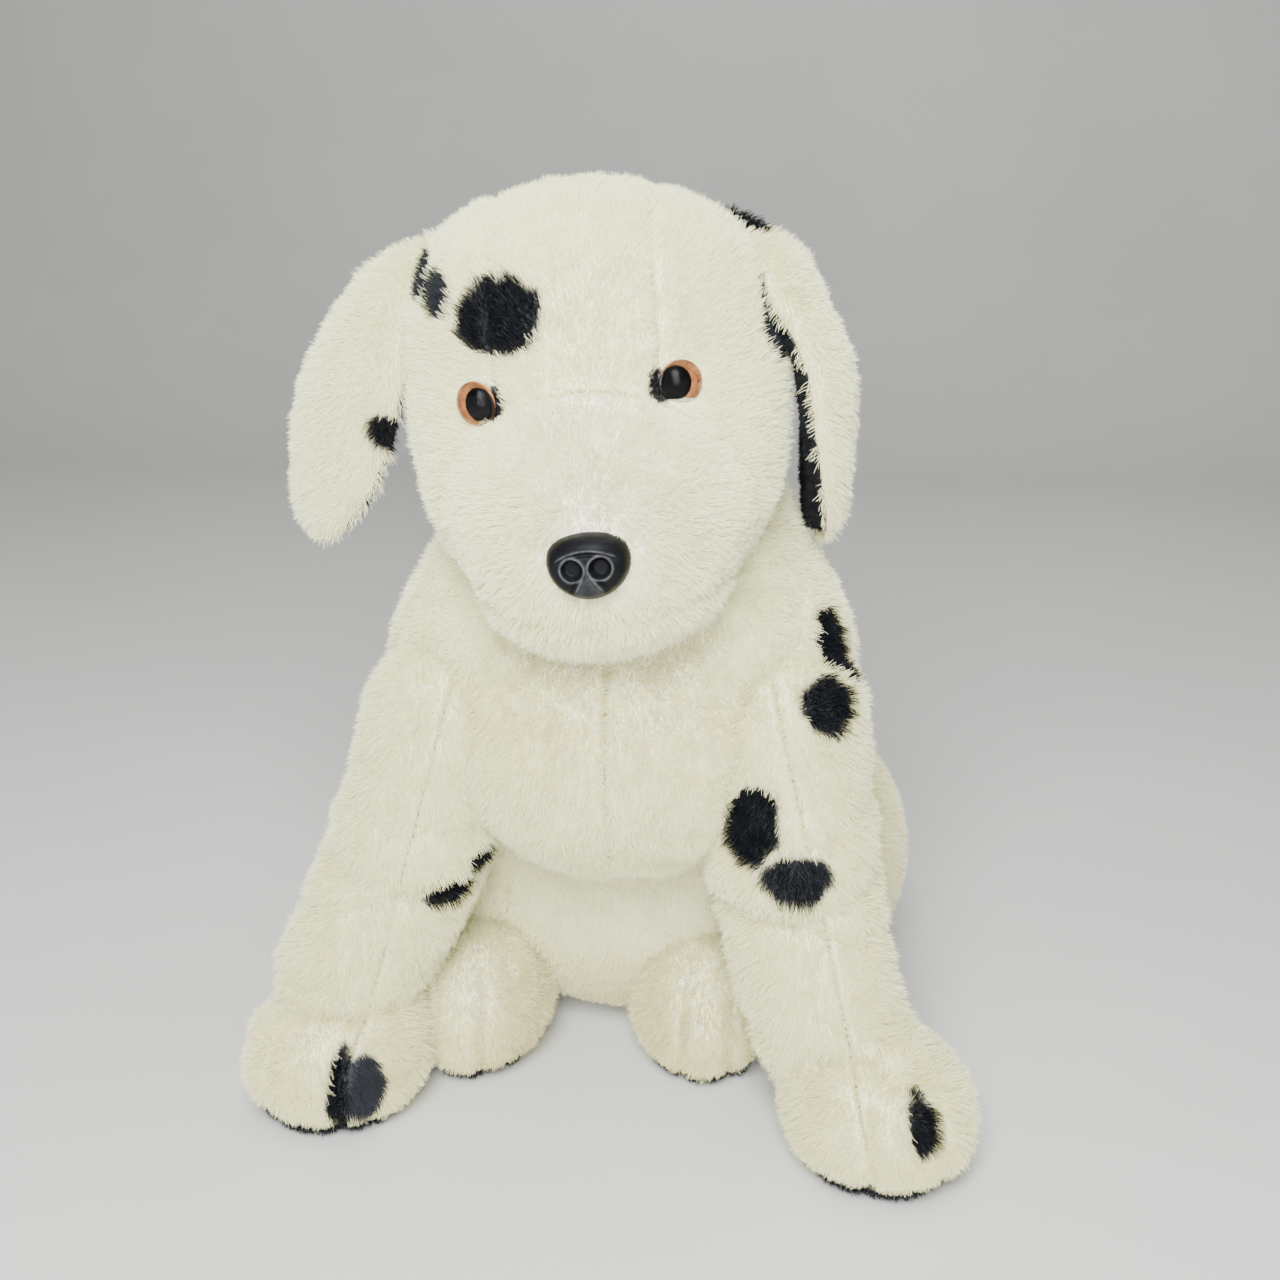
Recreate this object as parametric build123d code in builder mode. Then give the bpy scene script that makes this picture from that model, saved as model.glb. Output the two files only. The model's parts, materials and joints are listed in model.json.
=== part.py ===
from build123d import *
import os

# A sitting plush puppy. Millimetres, +Z up. The puppy looks along -Y, its own left is +X, and the
# origin is the middle of the flat seat, on the surface it sits on.

# Cloth, clearances and the flat underside
SKIN = 3.0                     # plush cloth and the root of its pile
GAP = 1.2                      # room kept between pieces that move against each other
FIT = 0.3                      # room kept around a piece that sits inside another
STEP_GROWTH = 0.06             # how much wider each step of a moving limb's room is
REACH = 300                    # farther than any part of the torso
SOLE = 3.0                     # seat and sole panels, which lie on the surface

# A bolster is a bar with ball ends that lies along X: its middle, half its straight part, its radius
TRUNK = ((0, 0, 84), 10, 95)
SHOULDERS = ((0, -38, 160), 12, 88)
CHEST = ((0, -80, 184), 24, 68)
THIGH_CENTRE = (66, 12, 76)
THIGH_RADIUS = 80
SEAT_RADII = (56, 46)
POUCH_PLACE = (0, 20, 16)      # middle of its underside
POUCH_RADIUS = 40
POUCH_HEIGHT = 40
POUCH_ROUNDING = 18
CHEST_HEM = 116                # lower edge of the chest panels
CHEST_SEAM = -88               # where the chest panels meet the side panels
BELLY_SEAM = -34               # where the belly panel meets the side panels
BELLY_HALF_WIDTH = 58

# Neck: a dome that turns on the shoulders, inside a round hollow in the head
NECK_PIVOT = (0, -45, 245)
NECK_RADIUS = 80
NECK_BASE = 222                # height of the flat face that the dome turns on

# Head, measured from the neck pivot with the head upright, then rolled to one side
HEAD_ROLL = -6.7
SKULL = ((0, -15, 92), 8, 80)
MUZZLE = ((0, -73, 36), 10, 54)
GUSSET_HALF_WIDTH = 32         # crown gusset between the two side seams
MUZZLE_SEAM = (0, -93, 95)     # top of the seam round the muzzle
MUZZLE_SEAM_TILT = 16
CHIN_SEAM_HEIGHT = 8

# Safety eyes and nose, each with a shank through the cloth and a washer behind it
EYE_DIRECTION = (33, -73, -2)  # square to the skull, on the left side
EYE_RADIUS = 9
DISC_BASE = 0.4
IRIS_THICKNESS = 1.4
PUPIL_RADIUS = 6.2
PUPIL_THICKNESS = 0.9
DOME_HEIGHT = 5.2
NOSE_DIRECTION = (0, -54, -4)  # square to the muzzle
NOSE_RADII = (16, 13.5)        # half width and half height
NOSE_HEIGHT = 9
NOSE_ROUNDING = 7
NOSE_BASE_DEPTH = 2.4
EYE_SHANK_RADIUS = 2.2
NOSE_SHANK_RADIUS = 3.2
SHANK_LENGTH = 13
WASHER_RADIUS = 9.5
WASHER_THICKNESS = 1.6
WASHER_PLAY = 0.05             # between a washer and its shank
WASHER_DEPTH = 4.6             # the washer's near face, behind the curved skin

# Ears: each hangs from its root on the skull to its tip, and bows outward on the way
EAR_ROOT_DIRECTION = {"left": (58, 5, 55), "right": (-50, 5, 59)}
EAR_TIP = {"left": (97, -58, 256), "right": (-143, -56, 254)}
EAR_FACING = {"left": (0.90, -0.43, 0), "right": (-0.70, -0.71, 0)}
EAR_WIDTH = 74
EAR_ROOT_WIDTH = 46
EAR_WIDEST = 0.6               # share of the length where the ear is widest
EAR_BOW = 14
EAR_PILE = 5.5
EAR_LINING = 3.0
EAR_LIFT = 90

# Forelegs: a tapered limb from shoulder to wrist, and a paw
SHOULDER = {"left": (75, -95, 182), "right": (-77, -95, 182)}
WRIST = {"left": (104, -133, 52), "right": (-122, -107, 52)}
PAW = {"left": (119, -142, 27), "right": (-125, -118, 27)}
PAW_RADIUS = 44
PAW_HEIGHTS = (-11, 26, 64)    # of its rounded bottom, before the sole flattens it, widest place and top
PAW_BULGE = (0.76, 0.36)       # how far out and how far along a point of the rounding is
UPPER_LEG_RADIUS = 37
WRIST_RADIUS = 35
PAW_SOLE_RADII = (34, 36)
FORELEG_SWING = 45

# Hind feet
HIND_FOOT = {"left": (39, -62, 33), "right": (-61, -60, 33)}
HIND_FOOT_RADIUS = 36
HIND_FOOT_HALF_LENGTH = 8      # of its straight part, front to back
HIND_SOLE_RADII = (22, 28)
HEEL_SETBACK = 22              # from the middle of the foot back to its hinge line
HEEL_HEIGHT = 10
HIND_FOOT_LIFT = 20

# Tail
TAIL_ROOT = (0, 86, 44)
TAIL_TIP = (0, 158, 23)
TAIL_ROOT_RADIUS = 14
TAIL_TIP_RADIUS = 10
TAIL_WAG = 30

SIDES = {"left": 1, "right": -1}
HEAD_POSE = Location(NECK_PIVOT, (0, HEAD_ROLL, 0))

os.makedirs("parts", exist_ok=True)


def save(piece, name):
    """Labels a finished sub-part and writes its STEP file."""
    piece.part.label = name
    export_step(piece.part, f"parts/{name}.step")


def limb(start, end, start_radius, end_radius):
    """A round limb with ball ends, its axis from start to end."""
    along = Vector(*end) - Vector(*start)
    length = along.length
    slant = 0.5 ** 0.5
    with BuildPart() as shape:
        with BuildSketch(Plane.XZ):
            with BuildLine():
                ThreePointArc(
                    (0, -start_radius),
                    (start_radius * slant, -start_radius * slant),
                    (start_radius, 0),
                )
                Line((start_radius, 0), (end_radius, length))
                ThreePointArc(
                    (end_radius, length),
                    (end_radius * slant, length + end_radius * slant),
                    (0, length + end_radius),
                )
                Line((0, length + end_radius), (0, -start_radius))
            make_face()
        revolve(axis=Axis.Z)
    return shape.part.moved(Plane(origin=start, z_dir=along).location)


def bolster(form, inset=0.0):
    """A bar with ball ends along X, made smaller by inset."""
    (x, y, z), half_length, radius = form
    return limb((x - half_length, y, z), (x + half_length, y, z), radius - inset, radius - inset)


def bun(middle, radius, heights, inset=0.0):
    """A round bun on a vertical axis, given its bottom, widest place and top."""
    bottom, widest, top = heights[0] + inset, heights[1], heights[2] - inset
    rim = radius - inset
    out = rim * PAW_BULGE[0]
    low = bottom + (widest - bottom) * PAW_BULGE[1]
    high = top - (top - widest) * PAW_BULGE[1]
    with BuildPart() as shape:
        with BuildSketch(Plane.XZ):
            with BuildLine():
                ThreePointArc((0, bottom), (out, low), (rim, widest))
                ThreePointArc((rim, widest), (out, high), (0, top))
                Line((0, top), (0, bottom))
            make_face()
        revolve(axis=Axis.Z)
    return shape.part.moved(Location((middle[0], middle[1], 0)))


def turned(shape, pivot, axis_direction, angle):
    """A copy of shape turned about a line through pivot."""
    return shape.rotate(Axis(pivot, axis_direction), angle)


def on_side(point, side):
    """A point given for the left side, moved to the side named."""
    return (SIDES[side] * point[0], point[1], point[2])


def surface_plane(form, direction):
    """The plane that touches a bolster of the upright head where it faces a direction, in place."""
    middle, half_length, radius = form
    outward = Vector(*direction).normalized()
    end = (direction[0] > 0) - (direction[0] < 0)
    origin = Vector(*middle) + Vector(end * half_length, 0, 0) + outward * radius
    level = Vector(0, 0, 1).cross(outward)
    return Plane(HEAD_POSE * Plane(origin=origin, x_dir=level, z_dir=outward).location)


# ---------------------------------------------------------------- whole forms

def torso_form(inset):
    """Trunk, shoulders and chest in one, between the seat and the neck."""
    with BuildPart() as torso:
        add(bolster(TRUNK, inset))
        add(bolster(SHOULDERS, inset))
        add(bolster(CHEST, inset))
        split(bisect_by=Plane.XY.offset(SOLE), keep=Keep.TOP)
        split(bisect_by=Plane.XY.offset(NECK_BASE), keep=Keep.BOTTOM)
    return torso.part


def foreleg_form(side, inset):
    """One foreleg with its paw, down to the floor."""
    leg = limb(SHOULDER[side], WRIST[side], UPPER_LEG_RADIUS - inset, WRIST_RADIUS - inset)
    paw = bun(PAW[side], PAW_RADIUS, PAW_HEIGHTS, inset)
    with BuildPart() as foreleg:
        add(leg)
        add(paw)
    return foreleg.part


def hind_foot_form(side, inset):
    """One hind foot, down to the floor."""
    x, y, z = HIND_FOOT[side]
    half_length = HIND_FOOT_HALF_LENGTH
    radius = HIND_FOOT_RADIUS - inset
    return limb((x, y + half_length, z), (x, y - half_length, z), radius, radius)


def head_form(inset):
    """Skull and muzzle in one, with the round hollow that takes the neck, in place."""
    skull = bolster(SKULL, inset)
    muzzle = bolster(MUZZLE, inset)
    with BuildPart() as head:
        add(skull)
        add(muzzle)
        Sphere(NECK_RADIUS + GAP, mode=Mode.SUBTRACT)
    return head.part.moved(HEAD_POSE)


def head_plane(origin, z_dir):
    """A plane given in the upright head, where it lies on the rolled head."""
    return Plane(HEAD_POSE * Plane(origin=origin, z_dir=z_dir).location)


# Room that the moving pieces need in the torso and the thighs


def limb_room(ends, radii, axis_direction, angles):
    """The space that a limb sweeps as it turns about its start through some angles.

    Each step is made a little wider than the last, which keeps their ball ends apart.
    """
    with BuildPart() as room:
        for step, angle in enumerate(angles):
            margin = GAP + STEP_GROWTH * step
            shape = limb(*ends, radii[0] + margin, radii[1] + margin)
            add(turned(shape, ends[0], axis_direction, angle))
    return room.part


def foreleg_room(side):
    """The space that one foreleg sweeps as it swings forward."""
    steps = 5
    angles = [FORELEG_SWING * step / (steps - 1) for step in range(steps)]
    ends = (SHOULDER[side], WRIST[side])
    return limb_room(ends, (UPPER_LEG_RADIUS, WRIST_RADIUS), (-1, 0, 0), angles)


def heel(side):
    """The middle of the line that one hind foot turns on."""
    middle = HIND_FOOT[side]
    return (middle[0], middle[1] + HEEL_SETBACK, HEEL_HEIGHT)


def sole(centre, radii, margin=0.0):
    """A flat oval sole under a foot, with a margin all round and above."""
    with BuildPart() as flat:
        with BuildSketch():
            with Locations((centre[0], centre[1])):
                Ellipse(radii[0] + margin, radii[1] + margin)
        extrude(amount=SOLE + margin)
    return flat.part


def hind_foot_room(side):
    """The space that one hind foot sweeps as its toes lift."""
    with BuildPart() as foot:
        add(hind_foot_form(side, -GAP))
        add(sole(HIND_FOOT[side], HIND_SOLE_RADII, GAP))
    steps = 4
    with BuildPart() as room:
        for step in range(steps):
            add(turned(foot.part, heel(side), (-1, 0, 0), HIND_FOOT_LIFT * step / (steps - 1)))
    return room.part


def tail_room():
    """The space that the tail sweeps as it wags."""
    steps = 5
    angles = [TAIL_WAG * (2 * step / (steps - 1) - 1) for step in range(steps)]
    ends = (TAIL_ROOT, TAIL_TIP)
    return limb_room(ends, (TAIL_ROOT_RADIUS, TAIL_TIP_RADIUS), (0, 0, 1), angles)


torso_outside = torso_form(0)
torso_inside = torso_form(SKIN)
leg_rooms = [foreleg_room(side) for side in SIDES]
foot_rooms = [hind_foot_room(side) for side in SIDES]
tail_space = tail_room()

# ---------------------------------------------------------------- body

with BuildPart() as torso_skin:
    add(torso_outside)
    add(torso_inside, mode=Mode.SUBTRACT)
    add(leg_rooms, mode=Mode.SUBTRACT)
    add(foot_rooms, mode=Mode.SUBTRACT)
    add(tail_space, mode=Mode.SUBTRACT)

front_aligned = (Align.CENTER, Align.MAX, Align.MIN)

with BuildPart() as chest_block:
    with Locations((0, CHEST_SEAM, CHEST_HEM)):
        Box(2 * REACH, REACH, REACH, align=front_aligned)

with BuildPart() as belly_block:
    with Locations((0, BELLY_SEAM, 0)):
        Box(2 * BELLY_HALF_WIDTH, REACH, CHEST_HEM, align=front_aligned)

with BuildPart() as belly_panel:
    add(torso_skin.part)
    add(belly_block.part, mode=Mode.INTERSECT)
save(belly_panel, "belly_panel")

with BuildPart() as side_region:
    add(torso_skin.part)
    add(chest_block.part + belly_block.part, mode=Mode.SUBTRACT)

for side, sign in SIDES.items():
    own_side = Plane(origin=(0, 0, 0), z_dir=(sign, 0, 0))

    with BuildPart() as chest_panel:
        add(torso_skin.part)
        split(bisect_by=own_side, keep=Keep.TOP)
        add(chest_block.part, mode=Mode.INTERSECT)
    save(chest_panel, f"chest_panel_{side}")

    with BuildPart() as side_panel:
        add(side_region.part)
        split(bisect_by=own_side, keep=Keep.TOP)
    save(side_panel, f"body_side_panel_{side}")

    thigh_centre = on_side(THIGH_CENTRE, side)

    with BuildPart() as thigh_panel:
        with Locations(thigh_centre):
            Sphere(THIGH_RADIUS)
            Sphere(THIGH_RADIUS - SKIN, mode=Mode.SUBTRACT)
        split(bisect_by=Plane.XY.offset(SOLE), keep=Keep.TOP)
        add(torso_outside, mode=Mode.SUBTRACT)
        add(foot_rooms, mode=Mode.SUBTRACT)
    save(thigh_panel, f"thigh_panel_{side}")

    with BuildPart() as thigh_stuffing:
        with Locations(thigh_centre):
            Sphere(THIGH_RADIUS - SKIN)
        split(bisect_by=Plane.XY.offset(SOLE), keep=Keep.TOP)
        add(torso_outside, mode=Mode.SUBTRACT)
        add(foot_rooms, mode=Mode.SUBTRACT)
    save(thigh_stuffing, f"thigh_stuffing_{side}")

with BuildPart() as seat_panel:
    with BuildSketch():
        Ellipse(*SEAT_RADII)
    extrude(amount=SOLE)
    add(foot_rooms, mode=Mode.SUBTRACT)
save(seat_panel, "seat_panel")


def pouch_form(margin=0.0):
    """The pellet pouch, a flat round cushion, made larger by a margin."""
    with BuildPart() as pouch:
        with Locations((0, 0, -margin)):
            Cylinder(
                POUCH_RADIUS + margin,
                POUCH_HEIGHT + 2 * margin,
                align=(Align.CENTER, Align.CENTER, Align.MIN),
            )
        fillet(pouch.edges().filter_by(GeomType.CIRCLE), radius=POUCH_ROUNDING)
    return pouch.part.moved(Location(POUCH_PLACE))


with BuildPart() as pellet_pouch:
    add(pouch_form())
save(pellet_pouch, "pellet_pouch")

with BuildPart() as body_stuffing:
    add(torso_inside)
    add(leg_rooms, mode=Mode.SUBTRACT)
    add(foot_rooms, mode=Mode.SUBTRACT)
    add(tail_space, mode=Mode.SUBTRACT)
    add(pouch_form(FIT), mode=Mode.SUBTRACT)
save(body_stuffing, "body_stuffing")

# ---------------------------------------------------------------- neck

neck_cut = NECK_BASE + GAP - NECK_PIVOT[2]

with BuildPart() as neck_panel:
    Sphere(NECK_RADIUS)
    Sphere(NECK_RADIUS - SKIN, mode=Mode.SUBTRACT)
    split(bisect_by=Plane.XY.offset(neck_cut), keep=Keep.TOP)
neck_panel.part = neck_panel.part.moved(Location(NECK_PIVOT))
save(neck_panel, "neck_panel")

with BuildPart() as neck_stuffing:
    Sphere(NECK_RADIUS - SKIN)
    split(bisect_by=Plane.XY.offset(neck_cut), keep=Keep.TOP)
neck_stuffing.part = neck_stuffing.part.moved(Location(NECK_PIVOT))
save(neck_stuffing, "neck_stuffing")

# ---------------------------------------------------------------- eyes and nose


def fitting_room(plane, shank_radius):
    """The hole for a shank and the pocket for its washer."""
    depth_aligned = (Align.CENTER, Align.CENTER, Align.MAX)
    with BuildPart() as room:
        with Locations((0, 0, 1)):
            Cylinder(shank_radius + FIT, SHANK_LENGTH + 2, align=depth_aligned)
        with Locations((0, 0, FIT - WASHER_DEPTH)):
            Cylinder(WASHER_RADIUS + FIT, WASHER_THICKNESS + 2 * FIT, align=depth_aligned)
    return room.part.moved(plane.location)


def washer(plane, shank_radius):
    """The ring that locks a shank behind the skin."""
    with BuildPart() as ring:
        with BuildSketch(Plane.XY.offset(-WASHER_DEPTH)):
            Circle(WASHER_RADIUS)
            Circle(shank_radius + WASHER_PLAY, mode=Mode.SUBTRACT)
        extrude(amount=-WASHER_THICKNESS)
    return ring.part.moved(plane.location)


nose_plane = surface_plane(MUZZLE, NOSE_DIRECTION)
eye_planes = {side: surface_plane(SKULL, on_side(EYE_DIRECTION, side)) for side in SIDES}
fitting_rooms = [fitting_room(plane, EYE_SHANK_RADIUS) for plane in eye_planes.values()]
fitting_rooms.append(fitting_room(nose_plane, NOSE_SHANK_RADIUS))

for side, plane in eye_planes.items():
    iris_top = DISC_BASE + IRIS_THICKNESS

    with BuildPart() as iris:
        with BuildSketch(Plane.XY.offset(DISC_BASE)):
            Circle(EYE_RADIUS)
        extrude(amount=IRIS_THICKNESS)
        with BuildSketch(Plane.XY.offset(DISC_BASE)):
            Circle(EYE_SHANK_RADIUS)
        extrude(amount=-SHANK_LENGTH)
    iris.part = iris.part.moved(plane.location)
    save(iris, f"eye_iris_{side}")

    with BuildPart() as pupil:
        with BuildSketch(Plane.XY.offset(iris_top)):
            Circle(PUPIL_RADIUS)
        extrude(amount=PUPIL_THICKNESS)
    pupil_form = pupil.part
    pupil.part = pupil_form.moved(plane.location)
    save(pupil, f"eye_pupil_{side}")

    dome_radius = (EYE_RADIUS**2 + DOME_HEIGHT**2) / (2 * DOME_HEIGHT)
    with BuildPart() as dome:
        with Locations((0, 0, iris_top + DOME_HEIGHT - dome_radius)):
            Sphere(dome_radius)
        split(bisect_by=Plane.XY.offset(iris_top), keep=Keep.TOP)
        add(pupil_form, mode=Mode.SUBTRACT)
    dome.part = dome.part.moved(plane.location)
    save(dome, f"eye_dome_{side}")

    with BuildPart() as eye_washer:
        add(washer(plane, EYE_SHANK_RADIUS))
    save(eye_washer, f"eye_washer_{side}")

with BuildPart() as nose:
    with BuildSketch(Plane.XY.offset(-NOSE_BASE_DEPTH)):
        Ellipse(*NOSE_RADII)
    extrude(amount=NOSE_BASE_DEPTH + NOSE_HEIGHT)
    fillet(nose.faces().sort_by(Axis.Z)[-1].edges(), radius=NOSE_ROUNDING)
    with BuildSketch(Plane.XY.offset(-NOSE_BASE_DEPTH)):
        Circle(NOSE_SHANK_RADIUS)
    extrude(amount=-SHANK_LENGTH + NOSE_BASE_DEPTH)
nose.part = nose.part.moved(nose_plane.location)
save(nose, "nose")

with BuildPart() as nose_washer:
    add(washer(nose_plane, NOSE_SHANK_RADIUS))
save(nose_washer, "nose_washer")

with BuildPart() as nose_seat:
    with BuildSketch(Plane.XY.offset(-NOSE_BASE_DEPTH - FIT / 2)):
        Ellipse(NOSE_RADII[0] + FIT, NOSE_RADII[1] + FIT)
    extrude(amount=NOSE_BASE_DEPTH + NOSE_HEIGHT)
nose_seat.part = nose_seat.part.moved(nose_plane.location)

# ---------------------------------------------------------------- head

head_inside = head_form(SKIN)

with BuildPart() as head_skin:
    add(head_form(0))
    add(head_inside, mode=Mode.SUBTRACT)
    add(fitting_rooms, mode=Mode.SUBTRACT)

tilt = Rotation(MUZZLE_SEAM_TILT, 0, 0)
muzzle_plane = head_plane(MUZZLE_SEAM, (tilt * Location((0, -1, 0))).position)
chin_plane = head_plane((0, 0, CHIN_SEAM_HEIGHT), (0, 0, 1))

with BuildPart() as face_region:
    add(head_skin.part)
    split(bisect_by=muzzle_plane, keep=Keep.TOP)

with BuildPart() as muzzle_panel:
    add(face_region.part)
    split(bisect_by=chin_plane, keep=Keep.TOP)
    add(nose_seat.part, mode=Mode.SUBTRACT)
save(muzzle_panel, "muzzle_panel")

with BuildPart() as chin_panel:
    add(face_region.part)
    split(bisect_by=chin_plane, keep=Keep.BOTTOM)
save(chin_panel, "chin_panel")

with BuildPart() as crown_region:
    add(head_skin.part)
    split(bisect_by=muzzle_plane, keep=Keep.BOTTOM)

seam_planes = {
    side: head_plane((sign * GUSSET_HALF_WIDTH, 0, 0), (sign, 0, 0))
    for side, sign in SIDES.items()
}

with BuildPart() as crown_gusset:
    add(crown_region.part)
    for plane in seam_planes.values():
        split(bisect_by=plane, keep=Keep.BOTTOM)
save(crown_gusset, "crown_gusset")

for side, plane in seam_planes.items():
    with BuildPart() as head_side_panel:
        add(crown_region.part)
        split(bisect_by=plane, keep=Keep.TOP)
    save(head_side_panel, f"head_side_panel_{side}")

with BuildPart() as head_stuffing:
    add(head_inside)
    add(fitting_rooms, mode=Mode.SUBTRACT)
save(head_stuffing, "head_stuffing")

# ---------------------------------------------------------------- ears

# The skull with a clearance. An ear that lifts is kept clear of it at every step.
skull_room = bolster(SKULL, -GAP).moved(HEAD_POSE)


def ear_frame(side):
    """An ear's plane: X across it, Y from root to tip, Z out of its plush face."""
    root = surface_plane(SKULL, EAR_ROOT_DIRECTION[side])
    origin = root.origin + root.z_dir * GAP
    down = Vector(*EAR_TIP[side]) - origin
    across = down.cross(Vector(*EAR_FACING[side]))
    return Plane(origin=origin, x_dir=across, z_dir=across.cross(down)), down.length


def ear_layer(side, near, far):
    """The part of an ear between two distances from its lining face."""
    frame, length = ear_frame(side)
    half_root = EAR_ROOT_WIDTH / 2
    half_width = EAR_WIDTH / 2
    widest = EAR_WIDEST * length
    with BuildPart() as layer:
        with BuildSketch():
            with BuildLine():
                Spline(
                    (-half_root, 0),
                    (-half_width, widest),
                    (0, length),
                    (half_width, widest),
                    (half_root, 0),
                )
                Line((half_root, 0), (-half_root, 0))
            make_face()
        extrude(amount=EAR_BOW + far + 1)
        with BuildSketch(Plane.YZ) as bow:
            with BuildLine():
                ThreePointArc((0, near), (length / 2, near + EAR_BOW), (length, near))
                Line((length, near), (length, far))
                ThreePointArc((length, far), (length / 2, far + EAR_BOW), (0, far))
                Line((0, far), (0, near))
            make_face()
        extrude(amount=EAR_WIDTH, both=True, mode=Mode.INTERSECT)
    return layer.part.moved(frame.location)


for side in SIDES:
    frame, length = ear_frame(side)
    steps = 7
    angles = [-EAR_LIFT * step / (steps - 1) for step in range(steps)]
    skull_rooms = [turned(skull_room, frame.origin, frame.x_dir, angle) for angle in angles]

    with BuildPart() as ear_lining:
        add(ear_layer(side, 0, EAR_LINING))
        add(skull_rooms, mode=Mode.SUBTRACT)
    save(ear_lining, f"ear_lining_{side}")

    with BuildPart() as ear_outer:
        add(ear_layer(side, EAR_LINING, EAR_LINING + EAR_PILE))
        add(skull_rooms, mode=Mode.SUBTRACT)
    save(ear_outer, f"ear_outer_{side}")

    print(f"ear_{side}: hinge at {tuple(frame.origin)}, axis {tuple(frame.x_dir)}, {length:.0f} mm long")

# ---------------------------------------------------------------- forelegs

for side, sign in SIDES.items():
    leg_inside = foreleg_form(side, SKIN)
    along = Vector(*WRIST[side]) - Vector(*SHOULDER[side])
    front_seam = Plane(origin=SHOULDER[side], z_dir=(-sign * along.Z, 0, sign * along.X))

    with BuildPart() as leg_skin:
        add(foreleg_form(side, 0))
        add(leg_inside, mode=Mode.SUBTRACT)
        split(bisect_by=Plane.XY.offset(SOLE), keep=Keep.TOP)

    with BuildPart() as outer_panel:
        add(leg_skin.part)
        split(bisect_by=front_seam, keep=Keep.TOP)
    save(outer_panel, f"foreleg_outer_panel_{side}")

    with BuildPart() as inner_panel:
        add(leg_skin.part)
        split(bisect_by=front_seam, keep=Keep.BOTTOM)
    save(inner_panel, f"foreleg_inner_panel_{side}")

    with BuildPart() as leg_stuffing:
        add(leg_inside)
        split(bisect_by=Plane.XY.offset(SOLE), keep=Keep.TOP)
    save(leg_stuffing, f"foreleg_stuffing_{side}")

    with BuildPart() as paw_sole:
        add(sole(PAW[side], PAW_SOLE_RADII))
    save(paw_sole, f"foreleg_sole_{side}")

# ---------------------------------------------------------------- hind feet

for side in SIDES:
    foot_inside = hind_foot_form(side, SKIN)

    with BuildPart() as foot_panel:
        add(hind_foot_form(side, 0))
        add(foot_inside, mode=Mode.SUBTRACT)
        split(bisect_by=Plane.XY.offset(SOLE), keep=Keep.TOP)
    save(foot_panel, f"hind_foot_panel_{side}")

    with BuildPart() as foot_stuffing:
        add(foot_inside)
        split(bisect_by=Plane.XY.offset(SOLE), keep=Keep.TOP)
    save(foot_stuffing, f"hind_foot_stuffing_{side}")

    with BuildPart() as foot_sole:
        add(sole(HIND_FOOT[side], HIND_SOLE_RADII))
    save(foot_sole, f"hind_foot_sole_{side}")

# ---------------------------------------------------------------- tail

tail_inside = limb(TAIL_ROOT, TAIL_TIP, TAIL_ROOT_RADIUS - SKIN, TAIL_TIP_RADIUS - SKIN)

with BuildPart() as tail_skin:
    add(limb(TAIL_ROOT, TAIL_TIP, TAIL_ROOT_RADIUS, TAIL_TIP_RADIUS))
    add(tail_inside, mode=Mode.SUBTRACT)

for side, sign in SIDES.items():
    with BuildPart() as tail_panel:
        add(tail_skin.part)
        split(bisect_by=Plane(origin=(0, 0, 0), z_dir=(sign, 0, 0)), keep=Keep.TOP)
    save(tail_panel, f"tail_panel_{side}")

with BuildPart() as tail_stuffing:
    add(tail_inside)
save(tail_stuffing, "tail_stuffing")
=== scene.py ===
import json
import math

import bmesh
import bpy
import numpy as np
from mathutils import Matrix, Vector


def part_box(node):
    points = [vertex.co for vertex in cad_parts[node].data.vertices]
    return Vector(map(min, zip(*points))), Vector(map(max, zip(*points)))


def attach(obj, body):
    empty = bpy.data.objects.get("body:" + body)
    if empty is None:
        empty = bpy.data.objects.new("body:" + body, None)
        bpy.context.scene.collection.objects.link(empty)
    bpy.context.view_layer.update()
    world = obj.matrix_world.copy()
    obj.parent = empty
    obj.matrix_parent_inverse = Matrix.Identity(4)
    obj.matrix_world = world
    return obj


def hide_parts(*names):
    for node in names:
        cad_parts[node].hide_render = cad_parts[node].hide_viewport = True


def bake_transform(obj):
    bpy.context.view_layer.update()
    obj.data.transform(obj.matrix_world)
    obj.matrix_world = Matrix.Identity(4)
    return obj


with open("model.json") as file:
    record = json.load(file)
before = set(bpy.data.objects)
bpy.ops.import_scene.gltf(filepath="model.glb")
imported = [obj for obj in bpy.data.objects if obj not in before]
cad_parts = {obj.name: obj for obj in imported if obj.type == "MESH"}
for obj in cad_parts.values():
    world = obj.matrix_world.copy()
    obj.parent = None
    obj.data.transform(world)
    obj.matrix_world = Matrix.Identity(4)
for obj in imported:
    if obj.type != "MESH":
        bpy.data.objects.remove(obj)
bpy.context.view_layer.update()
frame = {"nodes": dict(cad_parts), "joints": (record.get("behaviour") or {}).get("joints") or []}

import openvdb
from mathutils import Vector

# A sitting plush puppy that looks along -Y. Its shapes are worked out in millimetres in the
# shared frame, as signed distances (negative inside), and become meshes in metres.

MM = 0.001
STEP = 2.0               # sampling step of the cloth panels
STUFFING_STEP = 4.0
CLOTH = 5.0              # thickness of a panel: cloth with the dense root of its pile
OUTER_SKIN = 1.3         # depth within which a panel's point counts as its furry side
STUFFING_GAP = 0.4       # between the stuffing and the cloth round it
SEAM = 0.25              # how far a panel keeps back from its seam line
FLOOR_GAP = 0.4          # the underside's height above the floor
LOWEST = 0.3             # no point goes below this height
FAR = 60.0               # value far outside every shape
STRANDS = 1.7e6          # strands of pile on a square metre

JOINTS = {joint["name"]: joint for joint in frame["joints"]}
SIDES = {"left": 1, "right": -1}


def place(node, across, along, up):
    """A point of a node's box in mm: 0 is its low side and 1 its high side."""
    low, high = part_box(node)
    return np.array([(a + (b - a) * f) / MM for a, b, f in zip(low, high, (across, along, up))])


def pivot(joint):
    return np.array(JOINTS[joint]["pos_m"]) / MM


# ---------------- distances

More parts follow.
